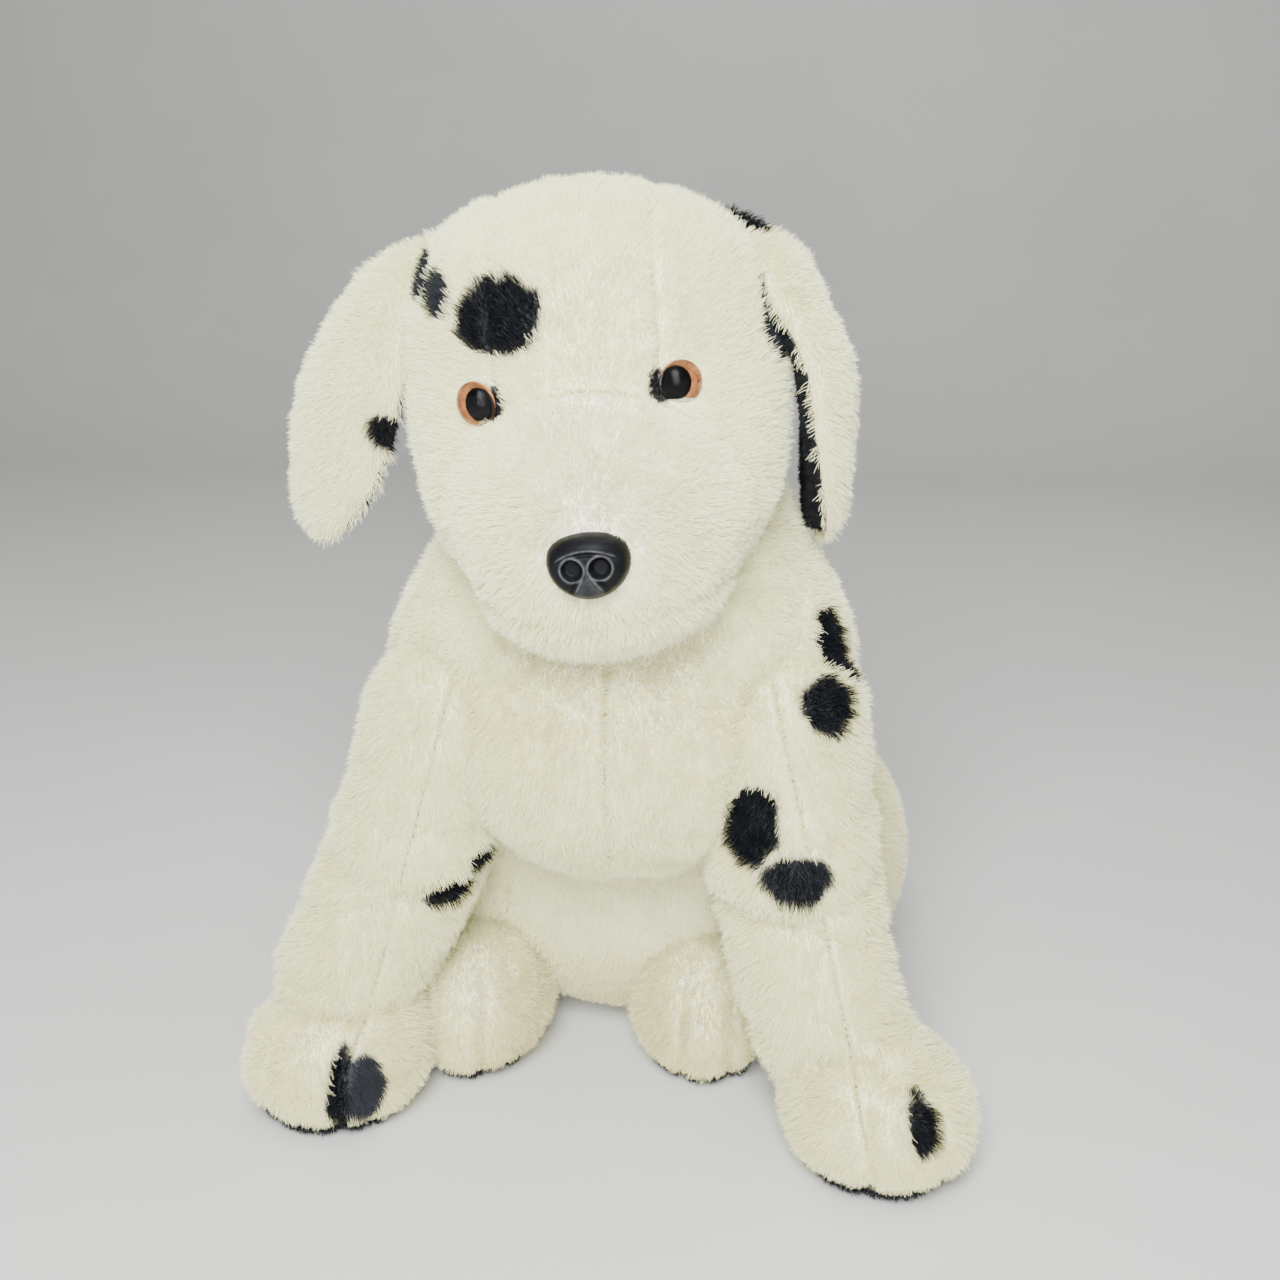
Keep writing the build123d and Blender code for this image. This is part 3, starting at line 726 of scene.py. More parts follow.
def pile_group():
    """Grows bent, clumped strands on a mesh, from the pile, nap and ink kept on its points."""
    group = bpy.data.node_groups.new("pile", "GeometryNodeTree")
    face = group.interface
    for name, kind in (("Geometry", "Geometry"), ("Cloth", "Object"), ("Density", "Float"),
                       ("Seed", "Int"), ("Strand", "Material")):
        face.new_socket(name, in_out="INPUT", socket_type="NodeSocket" + kind)
    face.new_socket("Geometry", in_out="OUTPUT", socket_type="NodeSocketGeometry")
    given = group.nodes.new("NodeGroupInput")

    def add(kind, inputs=None, **settings):
        node = group.nodes.new(kind)
        for key, value in settings.items():
            setattr(node, key, value)
        for key, value in (inputs or {}).items():
            if isinstance(value, bpy.types.NodeSocket):
                group.links.new(value, node.inputs[key])
            else:
                node.inputs[key].default_value = value
        return node

    def vector(operation, a, b=None, scale=None):
        inputs = {k: v for k, v in ((0, a), (1, b), ("Scale", scale)) if v is not None}
        return add("ShaderNodeVectorMath", inputs, operation=operation).outputs["Vector"]

    def total(first, *others):
        for other in others:
            first = vector("ADD", first, other)
        return first

    def scaled(a, factor):
        return vector("SCALE", a, scale=factor)

    def maths(operation, a, b):
        return add("ShaderNodeMath", {0: a, 1: b}, operation=operation).outputs[0]

    def kept(name, kind):
        node = add("GeometryNodeInputNamedAttribute", {"Name": name}, data_type=kind)
        return next(o for o in node.outputs if o.enabled and o.name == "Attribute")

    def chance(low, high, seed):
        node = add("FunctionNodeRandomValue", {"Seed": seed}, data_type="FLOAT")
        node.inputs[2].default_value = low
        node.inputs[3].default_value = high
        return node.outputs[1]

    def toss(seed):
        node = add("FunctionNodeRandomValue", {"Seed": seed}, data_type="FLOAT_VECTOR")
        node.inputs[0].default_value = (-1, -1, -1)
        node.inputs[1].default_value = (1, 1, 1)
        return node.outputs[0]

    def store(geometry, name, kind, value):
        node = add("GeometryNodeStoreNamedAttribute", {"Geometry": geometry, "Name": name},
                   data_type=kind, domain="POINT")
        target = next(i for i in node.inputs if i.enabled and i.name == "Value")
        group.links.new(value, target)
        return node.outputs["Geometry"]

    cloth = add("GeometryNodeObjectInfo", {"Object": given.outputs["Cloth"]})
    furry = maths("GREATER_THAN", kept("pile", "FLOAT"), SHORTEST)
    spread = add("GeometryNodeDistributePointsOnFaces", {
        "Mesh": cloth.outputs["Geometry"],
        "Density": maths("MULTIPLY", furry, given.outputs["Density"]),
        "Seed": given.outputs["Seed"],
    })
    points = spread.outputs["Points"]
    where = add("GeometryNodeInputPosition").outputs[0]
    length = maths("MULTIPLY", kept("pile", "FLOAT"), chance(0.7, 1.2, 3))
    nap = kept("nap", "FLOAT_VECTOR")
    tuft = add("ShaderNodeTexVoronoi", {"Vector": where, "Scale": TUFTS}, feature="F1")
    to_tuft = vector("SUBTRACT", tuft.outputs["Position"], where)
    swirl = add("ShaderNodeTexNoise", {"Vector": where, "Scale": SWIRLS, "Detail": 1.0})
    drift = vector("SUBTRACT", swirl.outputs["Color"], (0.5, 0.5, 0.5))
    up = spread.outputs["Normal"]
    points = store(points, "up", "FLOAT_VECTOR", up)
    up = kept("up", "FLOAT_VECTOR")
    bend = scaled(total(scaled(up, 0.52), scaled(nap, 0.10), scaled(toss(5), 0.10)), length)
    tip = total(scaled(up, 0.80), scaled(nap, 0.36), scaled(drift, 0.85), scaled(toss(6), 0.17))
    tip = total(scaled(tip, length), scaled(to_tuft, 0.42))
    points = store(points, "root", "FLOAT_VECTOR", where)
    points = store(points, "bend", "FLOAT_VECTOR", bend)
    points = store(points, "tip", "FLOAT_VECTOR", tip)
    printed = maths("GREATER_THAN", kept("ink", "FLOAT"), chance(0.35, 0.75, 8))
    points = store(points, "printed", "FLOAT", printed)
    # tone: how far a strand goes to its yellow tone, from dirt and from painted warm shade
    tone = maths("MULTIPLY", chance(0.3, 1.0, 9), kept("age", "FLOAT"))
    points = store(points, "tone", "FLOAT", tone)

    line = add("GeometryNodeCurvePrimitiveLine")
    strand = add("GeometryNodeResampleCurve", {"Curve": line.outputs[0], "Count": 4})
    grown = add("GeometryNodeInstanceOnPoints", {"Points": points, "Instance": strand.outputs[0]})
    curves = add("GeometryNodeRealizeInstances", {"Geometry": grown.outputs[0]})
    t = add("GeometryNodeSplineParameter").outputs["Factor"]
    rest = maths("SUBTRACT", 1.0, t)
    early = maths("MULTIPLY", maths("MULTIPLY", t, rest), 2.0)
    late = maths("MULTIPLY", t, t)
    path = total(scaled(kept("bend", "FLOAT_VECTOR"), early),
                 scaled(kept("tip", "FLOAT_VECTOR"), late), kept("root", "FLOAT_VECTOR"))
    moved = add("GeometryNodeSetPosition", {"Geometry": curves.outputs[0], "Position": path})
    width = maths("ADD", maths("MULTIPLY", rest, ROOT_RADIUS - TIP_RADIUS), TIP_RADIUS)
    sized = add("GeometryNodeSetCurveRadius", {"Curve": moved.outputs[0], "Radius": width})
    dyed = add("GeometryNodeSetMaterial",
               {"Geometry": sized.outputs[0], "Material": given.outputs["Strand"]})
    result = group.nodes.new("NodeGroupOutput")
    group.links.new(dyed.outputs[0], result.inputs[0])
    return group


PILE = pile_group()
SOCKETS = {
    item.name: item.identifier for item in PILE.interface.items_tree if item.in_out == "INPUT"
}


def plush(piece, strand, density=STRANDS):
    """Grows pile on a piece. The strands are a child of it, so they move with it."""
    name = piece.name + "_pile"
    fur = put(name, bpy.data.hair_curves.new(name))
    fur.parent = piece
    fur.data.materials.append(strand)
    grower = fur.modifiers.new("pile", "NODES")
    grower.node_group = PILE
    grower[SOCKETS["Cloth"]] = piece
    grower[SOCKETS["Density"]] = density
    grower[SOCKETS["Seed"]] = sum(map(ord, piece.name)) % 997
    grower[SOCKETS["Strand"]] = strand


# ---------------- sewn forms

def hanging(p, lean=(0, 0, -1)):
    """The nap of pile that lies one way all over: down, or along another direction."""
    return np.tile(np.array(lean, dtype=np.float32), (len(p[0]), 1))


def clear_of_floor(p):
    return ramp(p[2], 1.0, 6.0)


def sole_pile(p):
    return 2.6 * ramp(p[2], 1, 3)


def body_pile(length):
    """Pile of one length, shorter where the head covers it and with none near the floor."""
    def pile(p):
        return length * (0.3 + 0.7 * ramp(head_whole(p), -8, 1)) * clear_of_floor(p)
    return pile


def eye_clearing(p):
    """0 over the safety eyes, rising to 1 around them. Pile laps over each eye's inner edge."""
    q = in_head(p)
    clear = 1
    for side, s in SIDES.items():
        eye = in_head(EYES[side])
        inner = 3.2 * (s * (eye[0] - q[0]) > 0)
        away = np.hypot(q[0] - eye[0], q[2] - eye[2]) + 0.3 * np.abs(q[1] - eye[1])
        clear = clear * (0.55 * ramp(away, 9.6 - inner, 11 - inner) + 0.45 * ramp(away, 11, 17))
    return clear


NOSE = place("nose", 0.5, 0.35, 0.5) + (1.5, 0, -2.2)


def head_pile(length):
    def pile(p):
        return length * eye_clearing(p) * ramp(neck_ball(p, HOLLOW_RADIUS), 1, 4)
    return pile


def muzzle_pile(p):
    q, nose = in_head(p), in_head(NOSE)
    away = np.hypot((q[0] - nose[0]) / 15.5, (q[2] - nose[2]) / 13)
    bare = (away < 1) & (q[1] < nose[1] + 40)
    front = ramp(-q[1], 88, 120)
    lap = 0.45 + 0.55 * ramp(away, 1.0, 1.7)
    length = (2.6 + 2.8 * front) * lap * eye_clearing(p)
    return np.where(bare, 0, length) * ramp(neck_ball(p, HOLLOW_RADIUS), 1, 4)


NOSE_ROOT = head_place(0, -122, 45)


def head_nap(p):
    """Pile of the head lies away from the root of the nose."""
    way = np.stack(p, axis=1) - NOSE_ROOT
    return way / np.maximum(np.linalg.norm(way, axis=1), 1e-6)[:, None]


def build_body():
    body = Form("body", torso, (-156, -156, -4), (156, 106, 332), hanging, body_ink)
    upper = body_pile(5.2)
    for side, s in SIDES.items():
        body.panel(
            f"plush_chest_{side}", f"chest_panel_{side}",
            lambda p: np.maximum.reduce([chest_part(p), -s * p[0], -neck_part(p)]),
            PLUSH, body_pile(4.4), WHITE_PILE, 1.2 * STRANDS, 1.5,
        )
        body.panel(
            f"plush_thigh_{side}", f"thigh_panel_{side}",
            lambda p: thigh_part(p, side), PLUSH, upper, WHITE_PILE,
        )
        body.panel(
            f"plush_side_{side}", f"body_side_panel_{side}",
            lambda p: np.maximum.reduce([
                -s * p[0], -chest_part(p), -belly_part(p), -seat_part(p), -thigh_part(p, side),
                -neck_part(p),
            ]),
            PLUSH, upper, WHITE_PILE,
        )
    body.panel(
        "plush_belly", "belly_panel",
        lambda p: np.maximum.reduce([
            belly_part(p), -chest_part(p), -seat_part(p),
            -thigh_part(p, "left"), -thigh_part(p, "right"),
        ]),
        SHORT_PLUSH, body_pile(3.6), WHITE_PILE, 1.2 * STRANDS, 0.6,
    )
    body.panel("plush_seat", "seat_panel", seat_part, SHORT_PLUSH, body_pile(0), None, amount=0.1)
    for side in SIDES:
        body.stuffing(f"filling_thigh_{side}", f"thigh_stuffing_{side}",
                      lambda p: thigh_part(p, side))
    body.stuffing("filling_body", "body_stuffing", lambda p: np.maximum.reduce([
        -thigh_part(p, "left"), -thigh_part(p, "right"), -neck_part(p), 3 - pouch(p),
    ]))
    body.blend = ("body", "neck", metres(NECK + (0, 0, 12)), metres(NECK + (0, 0, 45)))
    body.panel("plush_neck", "neck_panel", neck_part, PLUSH, upper, WHITE_PILE)
    body.stuffing("filling_neck", "neck_stuffing", neck_part)


def build_head():
    middle = head_place(0, -17, 60)
    low, high = middle - (105, 125, 95), middle + (105, 95, 125)
    form = Form("head", head, low, high, head_nap, head_ink)
    form.panel("plush_crown", "crown_gusset", lambda p: np.maximum(crown_part(p), -muzzle_part(p)),
               PLUSH, head_pile(5.0), WHITE_PILE)
    for side, s in SIDES.items():
        form.panel(
            f"plush_cheek_{side}", f"head_side_panel_{side}",
            lambda p: np.maximum.reduce([-s * in_head(p)[0], -crown_part(p), -muzzle_part(p)]),
            PLUSH, head_pile(5.0), WHITE_PILE,
        )
    form.panel("plush_muzzle", "muzzle_panel",
               lambda p: np.maximum(muzzle_part(p), -chin_part(p)), SHORT_PLUSH, muzzle_pile,
               WHITE_PILE, 1.4 * STRANDS)
    form.panel("plush_chin", "chin_panel", chin_part, PLUSH, head_pile(6.4), WHITE_PILE)
    form.stuffing("filling_head", "head_stuffing")


def metres(point):
    return tuple(float(v) * MM for v in point)


def build_foreleg(side):
    axis = PAW[side] - SHOULDER[side]
    bend = ("body", f"foreleg_{side}", metres(SHOULDER[side] - 0.04 * axis),
            metres(SHOULDER[side] + 0.30 * axis))
    low = np.minimum(PAW[side], SHOULDER[side]) - (50, 56, 5) - (0, 0, PAW[side][2])
    high = np.maximum(PAW[side], SHOULDER[side]) + (50, 50, 46)
    form = Form(f"foreleg_{side}", lambda p: foreleg(p, side), low, high, hanging,
                lambda p: leg_ink(p, side), bend)

    def sole(p):
        return paw_sole(p, side)

    def upper(p):
        return 5.4 * (0.5 + 0.5 * ramp(p[2], 9, 20))

    for half, turn in (("outer", 1), ("inner", -1)):
        form.panel(
            f"plush_leg_{half}_{side}", f"foreleg_{half}_panel_{side}",
            lambda p: np.maximum(turn * leg_split(p, side), -sole(p)),
            PLUSH, upper, WHITE_PILE, STRANDS, 1.2,
        )
    form.ink = no_ink
    form.panel(f"black_sole_{side}", f"foreleg_sole_{side}", sole, BLACK_PLUSH, sole_pile,
               BLACK_PILE)
    form.stuffing(f"filling_foreleg_{side}", f"foreleg_stuffing_{side}")


def build_hind_foot(side):
    heel = pivot(f"hind_foot_{side}_lift")
    bend = ("body", f"hind_foot_{side}", metres(heel + (0, 22, 0)), metres(heel - (0, 14, 0)))
    low = FOOT[side] - (44, 56, 8)
    high = FOOT[side] + (52, 66, 76)
    form = Form(f"hind_foot_{side}", lambda p: hind_foot(p, side), low, high,
                lambda p: hanging(p, (0, -1, -0.3)), no_ink, bend)

    def sole(p):
        return foot_sole(p, side)

    form.panel(f"plush_foot_{side}", f"hind_foot_panel_{side}", lambda p: -sole(p), PLUSH,
               lambda p: 5.2 * (0.55 + 0.45 * ramp(p[2], 10, 20)), WHITE_PILE, STRANDS, 1.2)
    form.panel(f"black_foot_sole_{side}", f"hind_foot_sole_{side}", sole, BLACK_PLUSH, sole_pile,
               BLACK_PILE)
    form.stuffing(f"filling_foot_{side}", f"hind_foot_stuffing_{side}")


def build_tail():
    bend = ("body", "tail", metres(TAIL_ROOT - (0, 6, 0)), metres(TAIL_ROOT + (0, 24, 0)))
    form = Form("tail", tail, (-20, 62, 2), (20, 172, 66), lambda p: hanging(p, (0, 1, -0.2)),
                tail_ink, bend)
    for side, s in SIDES.items():
        form.panel(f"plush_tail_{side}", f"tail_panel_{side}", lambda p: -s * p[0], PLUSH,
                   lambda p: 6.0 * clear_of_floor(p), WHITE_PILE)
    form.stuffing("filling_tail", "tail_stuffing")


POUCH_EDGE = 15          # how round the pouch's rim is
POUCH_STEP = 1.5


def pouch(p):
    """A flat round bag of pellets, 1 mm smaller than its node, with gathers round its rim."""
    centre, corner = place("pellet_pouch", 0.5, 0.5, 0.5), place("pellet_pouch", 1, 1, 1)
    radius, half = corner[0] - centre[0], corner[2] - centre[2]
    out = np.hypot(p[0] - centre[0], p[1] - centre[1]) - (radius - POUCH_EDGE - 1)
    up = np.abs(p[2] - centre[2]) - (half - POUCH_EDGE - 1)
    form = np.hypot(np.maximum(out, 0), np.maximum(up, 0)) - POUCH_EDGE
    gathers = np.abs(np.sin(3 * np.arctan2(p[1] - centre[1], p[0])))
    return form + 1.1 * np.abs(lumps(p, 3.5, 41)) + 1.5 * gathers


def build_pouch():
    low, high = place("pellet_pouch", 0, 0, 0) - 6, place("pellet_pouch", 1, 1, 1) + 6
    values = pouch(sampled(low, high, POUCH_STEP))
    piece = mesh_object("pouch_of_pellets", *polygons(values, low, POUCH_STEP))
    s = Shader("pouch_cloth", 0.85)
    s.colour(s.shades(s.noise(220), (0.3, (0.62, 0.61, 0.57)), (0.7, (0.80, 0.79, 0.75))))
    s.bump(s.noise(900, 2), 0.5, 0.001)
    piece.data.materials.append(s.material)
    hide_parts("pellet_pouch")
    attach(piece, "body")


# ---------------- ears

# where each tip is in the box of the ear's node, and the ear's half widths down its length
EAR_TIP = {"left": (0.62, 0.57, 0.0), "right": (0.19, 0.68, 0.0)}
EAR_STATIONS = (0.0, 0.2, 0.42, 0.62, 0.78, 0.9, 0.97, 1.0)
EAR_FRONT = (4, 21, 30, 34, 31, 22, 11, 0.6)
EAR_BACK = (4, 24, 35, 39, 38, 29, 16, 0.6)
EAR_BOW = {"left": 20.5, "right": 16}
EAR_TWIST = {"left": 0.52, "right": 0.10}
LINING_LENGTH = 0.94
EAR_PILE_HALF = {"left": 8.5, "right": 7.5}
EAR_LINING_HALF = {"left": 7.0, "right": 6.0}


def smooth_through(stations, values, s):
    """A smooth curve through a few values."""
    fine = np.linspace(0, 1, 201)
    line = np.interp(fine, stations, values)
    window = np.hanning(23)
    padded_line = np.pad(line, 11, mode="edge")
    curve = np.convolve(padded_line, window / window.sum(), mode="valid")
    end = ramp(fine, 0.86, 0.99)
    return np.interp(s, fine, curve * (1 - end) + line * end)


def ear_points(side, s, round_angle, top, bottom):
    """Points of an ear's layer, for shares of its length and angles round its section."""
    root = pivot(f"ear_{side}_lift")
    down = place(f"ear_outer_{side}", *EAR_TIP[side]) - root
    length = np.linalg.norm(down)
    down = down / length
    across = np.array(JOINTS[f"ear_{side}_lift"]["axis"])
    face = np.cross(across, down)
    front = across if across[1] < 0 else -across
    t = np.cos(round_angle)
    half = np.where(t > 0, smooth_through(EAR_STATIONS, EAR_FRONT, s),
                    smooth_through(EAR_STATIONS, EAR_BACK, s))
    rise = np.sin(round_angle)
    thick = np.where(rise > 0, top, bottom) * np.abs(rise) ** 0.8
    thick = thick * np.minimum(1, half / 18) * (0.75 + 0.5 * np.sin(np.pi * s))
    turn = EAR_TWIST[side] * ramp(s, 0.05, 0.5)
    x = t * half
    bow = EAR_BOW[side] * 4 * s * (1 - s) + 3 - 6 * (1 - ramp(s, 0, 0.2))
    bow = bow - 9 * (x / 38) ** 2 * ramp(s, 0, 0.3)
    bow = bow + 2.5 * np.sin(5.5 * s + 1.5 * t) * ramp(s, 0.25, 0.6)
    z = bow + thick
    c, k = np.cos(turn), np.sin(turn)
    points = (
        root + np.outer(s * (length + 1) - 1, down)
        + np.outer(x * c, front) + np.outer(z + x * k - 2, face)
    )
    return points, down


def ear_layer(name, node, side, top, bottom, material, pile, strand, bare, ink):
    """One side of an ear. The bare one, the lining, ends short of the tip."""
    rings, around = 84, 72
    steps = np.linspace(0, 1, rings)
    s = np.repeat(np.sin(steps * math.pi / 2) * 0.5 + steps * 0.5, around)
    s = s * (LINING_LENGTH if bare else 1)
    angle = np.tile(np.linspace(0, 2 * math.pi, around, endpoint=False), rings)
    points, down = ear_points(side, s, angle, top, bottom)
    faces, root_cap, tip_cap = ring_faces(rings, around)
    mesh = bpy.data.meshes.new(name)
    mesh.from_pydata((points * MM).tolist(), [], faces + [root_cap, tip_cap])
    mesh.update()
    bm = bmesh.new()
    bm.from_mesh(mesh)
    bmesh.ops.recalc_face_normals(bm, faces=bm.faces)
    bm.to_mesh(mesh)
    bm.free()
    mesh.shade_smooth()
    piece = put(name, mesh)
    points = tufted(piece, points, 0.7, len(name))
    shown = np.sin(angle) > -0.02 if not bare else np.sin(angle) < 0.05
    nap = np.tile(down, (len(points), 1))
    # The side without pile gets seam 1, so it takes the cloth's painted seam shade.
    note_pile(piece, points, normals_of(piece), ink(s, np.cos(angle)), np.where(shown, pile, 0),
              np.where(shown, 0, 1), nap)
    mesh.materials.append(material)
    stands_for(node)
    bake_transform(piece)
    plush(piece, strand, STRANDS * (1.6 if bare else 1.1))


def ear_ink(side):
    marks = {
        "right": [((0.56, 1.08), (0.05, 0.30))],
        "left": [((0.02, -0.4), (0.07, 0.9)), ((0.62, -0.75), (0.10, 0.40))],
    }[side]

    def ink(s, t):
        total = np.zeros(len(s))
        for (s0, t0), (ds, dt) in marks:
            total = np.maximum(total, ramp(1.15 - np.hypot((s - s0) / ds, (t - t0) / dt), 0, 0.3))
        return np.stack([total, np.ones(len(s))])
    return ink


def build_ear(side):
    ear_layer(f"plush_ear_{side}", f"ear_outer_{side}", side, EAR_PILE_HALF[side], 0.0, PLUSH, 5.4,
              WHITE_PILE, False, ear_ink(side))
    ear_layer(f"black_ear_lining_{side}", f"ear_lining_{side}", side, -0.4, -EAR_LINING_HALF[side],
              BLACK_PLUSH, 2.4, BLACK_PILE, True, lambda s, t: np.zeros((2, len(s))))


# ---------------- nose

NOSTRIL = (5.5, -0.3)      # from the middle of the nose, sideways and up


def nose_axes(p):
    """Sideways, up and out of the muzzle, from the middle of the nose."""
    q, middle = in_head(p), in_head(NOSE)
    return q[0] - middle[0], q[2] - middle[2], middle[1] - q[1]


def nose_lines(u, w):
    """How near each point is to the brow line, the rims of the nostrils and the ridge between."""
    side = np.abs(u)
    away = np.hypot(side - NOSTRIL[0], w - NOSTRIL[1])
    brow = dent(w - 7.0 + 0.026 * u ** 2, 0.5) * ramp(12.5 - side, 0, 2)
    rim = dent(away - 4.8, 0.5)
    flare = (side - 1.3 - 0.62 * np.maximum(-w - 3.2, 0)) * 0.85
    edge = dent(flare, 0.5) * ramp(-w, 1, 4) * ramp(w + 11, 0, 3)
    return brow, rim, edge, away, flare


def nose_form(p):
    """A moulded nose: a brow line over two round nostrils, and a ridge that widens below."""
    u, w, out = nose_axes(p)
    form = egg((u / (1 + 0.004 * w), out + 4, w), (0, 0, 0), (16.6, 14.5, 14.6))
    form = both(form, w - 12.2 + 0.012 * u ** 2, 4)
    form = both(form, out - 7.6 + 0.012 * u ** 2 + 0.05 * np.maximum(w - 4, 0) ** 2, 3)
    form = np.maximum(form, -out - 6)
    front = ramp(out, 1, 4)
    brow, rim, edge, away, flare = nose_lines(u, w)
    under = dent(w - 5.4 + 0.026 * u ** 2, 0.7) * ramp(12.5 - np.abs(u), 0, 3)
    form = form + front * (1.3 * under - 0.6 * brow - 0.5 * np.maximum(rim, 0.8 * edge))
    slot = dent(flare - 1.6, 0.9) * ramp(-w, 4, 6) * ramp(w + 10.5, 0, 3)
    form = form + front * 1.2 * slot
    return form + front * 3.8 * ramp(4.4 - away, 0, 1.8)


def build_nose():
    step = 0.45
    low, high = NOSE - (23, 18, 20), NOSE + (23, 16, 20)
    piece = mesh_object("nose_cap", *polygons(nose_form(sampled(low, high, step)), low, step))
    u, w, out = nose_axes(points_of(piece).T)
    brow, rim, edge, away, flare = nose_lines(u, w)
    # The lighter lines of the nose, along the brow line, the nostril rims and the ridge between them,
    # are worn paint and painted highlight.
    ridge = 0.35 * ramp(-flare, 0, 1) * ramp(3 - w, 0, 3) * ramp(away, 4.4, 5)
    wear = np.maximum.reduce([0.6 * brow, rim * ramp(away, 4.0, 4.8), edge, ridge])
    note(piece, "wear", wear * ramp(out, 2, 4))
    s = Shader("moulded_nose", 0.36, Specular_IOR_Level=0.045)
    black = s.shades(s.noise(90), (0.3, (0.004, 0.004, 0.005)), (0.7, (0.009, 0.010, 0.011)))
    shade_shine_and_wear = s.shades(s.noise(260), (0.3, (0.03, 0.031, 0.033)), (0.7, (0.095, 0.097, 0.10)))
    s.colour(s.mixed(s.reading("wear"), black, shade_shine_and_wear))
    rough = s.add("ShaderNodeMapRange")
    rough.inputs["To Min"].default_value = 0.26
    rough.inputs["To Max"].default_value = 0.46
    s.link(s.noise(160, 5), rough.inputs["Value"])
    s.link(rough.outputs["Result"], s.out.inputs["Roughness"])
    s.bump(s.noise(1400, 3), 0.12, 0.0004)
    piece.data.materials.append(s.material)
    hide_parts("nose")
    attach(piece, "head")


# ---------------- eyes and washers

def iris_material(side):
    """Mottled amber moulding under a gloss coat."""
    s = Shader(f"iris_{side}", 0.22, Coat_Weight=0.6, Coat_Roughness=0.05)
    streaks = s.shades(s.noise(420, 6), (0.3, (0.30, 0.085, 0.022)), (0.7, (0.62, 0.26, 0.085)))
    s.colour(streaks)
    s.bump(s.noise(700, 3), 0.1, 0.0003)
    return s.material


def pupil_material():
    s = Shader("pupil", 0.06, Specular_IOR_Level=0.0, Coat_Weight=0.35)
    s.colour(s.shades(s.noise(200), (0.3, (0.003, 0.003, 0.004)), (0.7, (0.008, 0.008, 0.009))))
    return s.material


def dome_material():
    s = Shader("clear_dome", 0.02, Transmission_Weight=1.0, IOR=1.13)
    s.bump(s.noise(120, 1), 0.02, 0.0002)
    return s.material


def washer_material():
    s = Shader("washer_nylon", 0.5)
    s.colour(s.shades(s.noise(150), (0.3, (0.80, 0.80, 0.77)), (0.7, (0.90, 0.90, 0.88))))
    s.bump(s.noise(800, 2), 0.15, 0.0003)
    return s.material


PUPIL_INWARD = 2.8
PUPIL_RADIUS = 6.8
PUPIL_RISE = 1.1


def build_pupil(side, material):
    """A domed black cap that stands on the iris, under the clear dome."""
    low, high = place(f"eye_pupil_{side}", 0, 0, 0), place(f"eye_pupil_{side}", 1, 1, 1)
    middle = (low + high) / 2
    out = middle - head_place(0, -15, 92)
    out[0] = out[0] - math.cos(ROLL) * 8 * SIDES[side]
    out = out / np.linalg.norm(out)
    level = np.cross((0, 0, 1), out)
    level = level / np.linalg.norm(level)
    upright = np.cross(out, level)
    middle = middle - level * PUPIL_INWARD * SIDES[side]
    rings, around = 14, 48
    points = []
    for i in range(rings):
        tilt = math.pi / 2 * i / rings
        for j in range(around):
            a = 2 * math.pi * j / around
            flat = PUPIL_RADIUS * math.cos(tilt)
            points.append(middle + out * (PUPIL_RISE * math.sin(tilt) - 0.4)
                          + flat * (math.cos(a) * level + math.sin(a) * upright))
    faces, back, top = ring_faces(rings, around)
    mesh = bpy.data.meshes.new(f"pupil_cap_{side}")
    mesh.from_pydata((np.array(points) * MM).tolist(), [], faces + [top, back])
    mesh.shade_smooth()
    piece = put(f"pupil_cap_{side}", mesh)
    mesh.materials.append(material)
    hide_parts(f"eye_pupil_{side}")
    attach(piece, "head")


def dress(node, material):
    part = frame["nodes"][node]
    part.data.materials.clear()
    part.data.materials.append(material)


def build_fittings():
    pupil, dome, nylon = pupil_material(), dome_material(), washer_material()
    for side in SIDES:
        dress(f"eye_iris_{side}", iris_material(side))
        build_pupil(side, pupil)
        dress(f"eye_dome_{side}", dome)
        dress(f"eye_washer_{side}", nylon)
    dress("nose_washer", nylon)


# ---------------- floor, light and camera

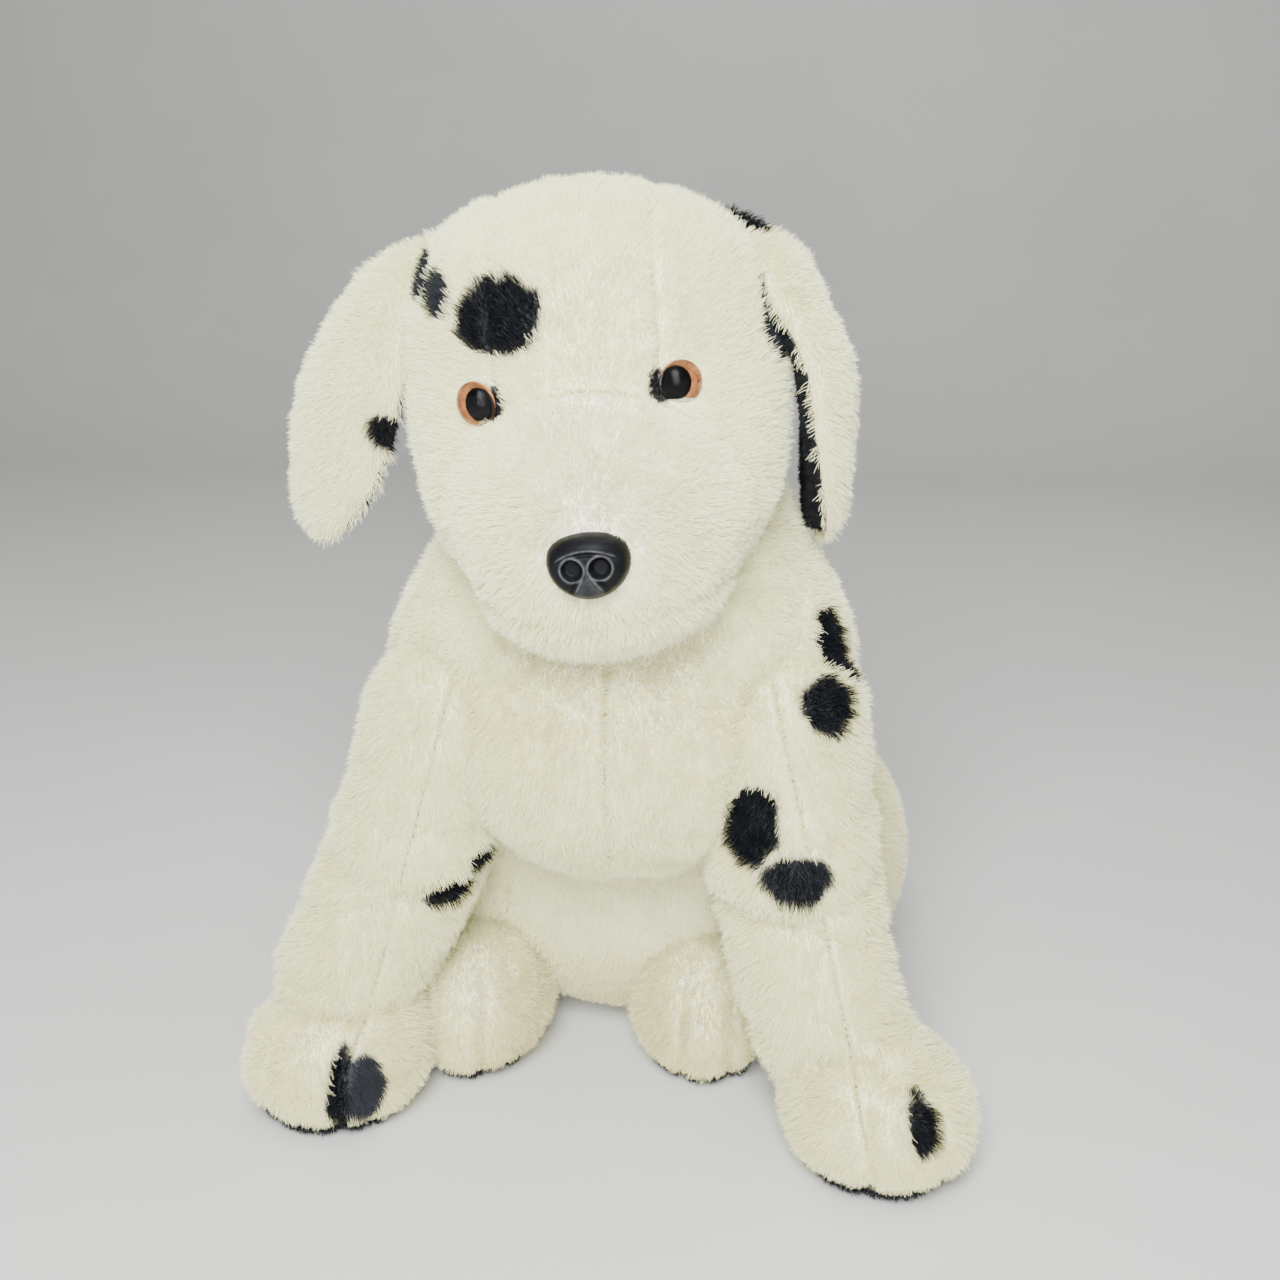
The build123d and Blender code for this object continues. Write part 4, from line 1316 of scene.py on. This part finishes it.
def build_stage():
    """A pale floor that curves up into a backdrop."""
    width, front, corner, height, rounding = 3.0, -2.5, 1.3, 2.2, 0.7
    turn = np.linspace(0, math.pi / 2, 13)
    profile = [(front, 0.0)]
    profile += [(corner + rounding * math.sin(a), rounding * (1 - math.cos(a))) for a in turn]
    profile.append((corner + rounding, height))
    points = [(x, y, z) for y, z in profile for x in (-width, width)]
    faces = [(2 * i, 2 * i + 1, 2 * i + 3, 2 * i + 2) for i in range(len(profile) - 1)]
    mesh = bpy.data.meshes.new("floor")
    mesh.from_pydata(points, [], faces)
    mesh.shade_smooth()
    floor = put("floor", mesh)
    s = Shader("pale_floor", 0.5)
    s.colour(s.shades(s.noise(3), (0.3, (0.57, 0.58, 0.56)), (0.7, (0.61, 0.62, 0.60))))
    floor.data.materials.append(s.material)


def lamp(name, place_m, target_m, size, power):
    light = bpy.data.lights.new(name, "AREA")
    light.shape = "DISK"
    light.size = size
    light.energy = power
    lamp_object = put(name, light)
    lamp_object.location = place_m
    aim = Vector(target_m) - Vector(place_m)
    lamp_object.rotation_euler = aim.to_track_quat("-Z", "Y").to_euler()


def build_lights():
    middle = (0, -0.05, 0.2)
    lamp("key", (-0.05, -0.95, 1.0), middle, 0.6, 33)
    lamp("fill", (0.15, -1.6, 0.5), middle, 0.9, 28)
    lamp("top", (0.1, 0.2, 1.9), middle, 1.5, 20)
    world = bpy.data.worlds.new("studio")
    world.use_nodes = True
    background = world.node_tree.nodes["Background"]
    background.inputs["Color"].default_value = (1.0, 0.99, 0.95, 1)
    background.inputs["Strength"].default_value = 0.20
    bpy.context.scene.world = world


CAMERA_PLACE = (0.068, -0.745, 0.431)
LOOK_DOWN = 18           # degrees
LOOK_ASIDE = 5


def build_camera():
    """A little above the top of the head and to the puppy's left."""
    camera = bpy.data.cameras.new("camera")
    camera.sensor_width = 36
    camera.lens = 43.46
    view = put("camera", camera)
    view.location = CAMERA_PLACE
    view.rotation_euler = (math.radians(90 - LOOK_DOWN), 0, math.radians(LOOK_ASIDE))
    bpy.context.scene.camera = view


build_camera()
build_body()
build_head()
for side_name in SIDES:
    build_foreleg(side_name)
    build_hind_foot(side_name)
    build_ear(side_name)
build_tail()
build_pouch()
build_nose()
build_fittings()
build_stage()
build_lights()
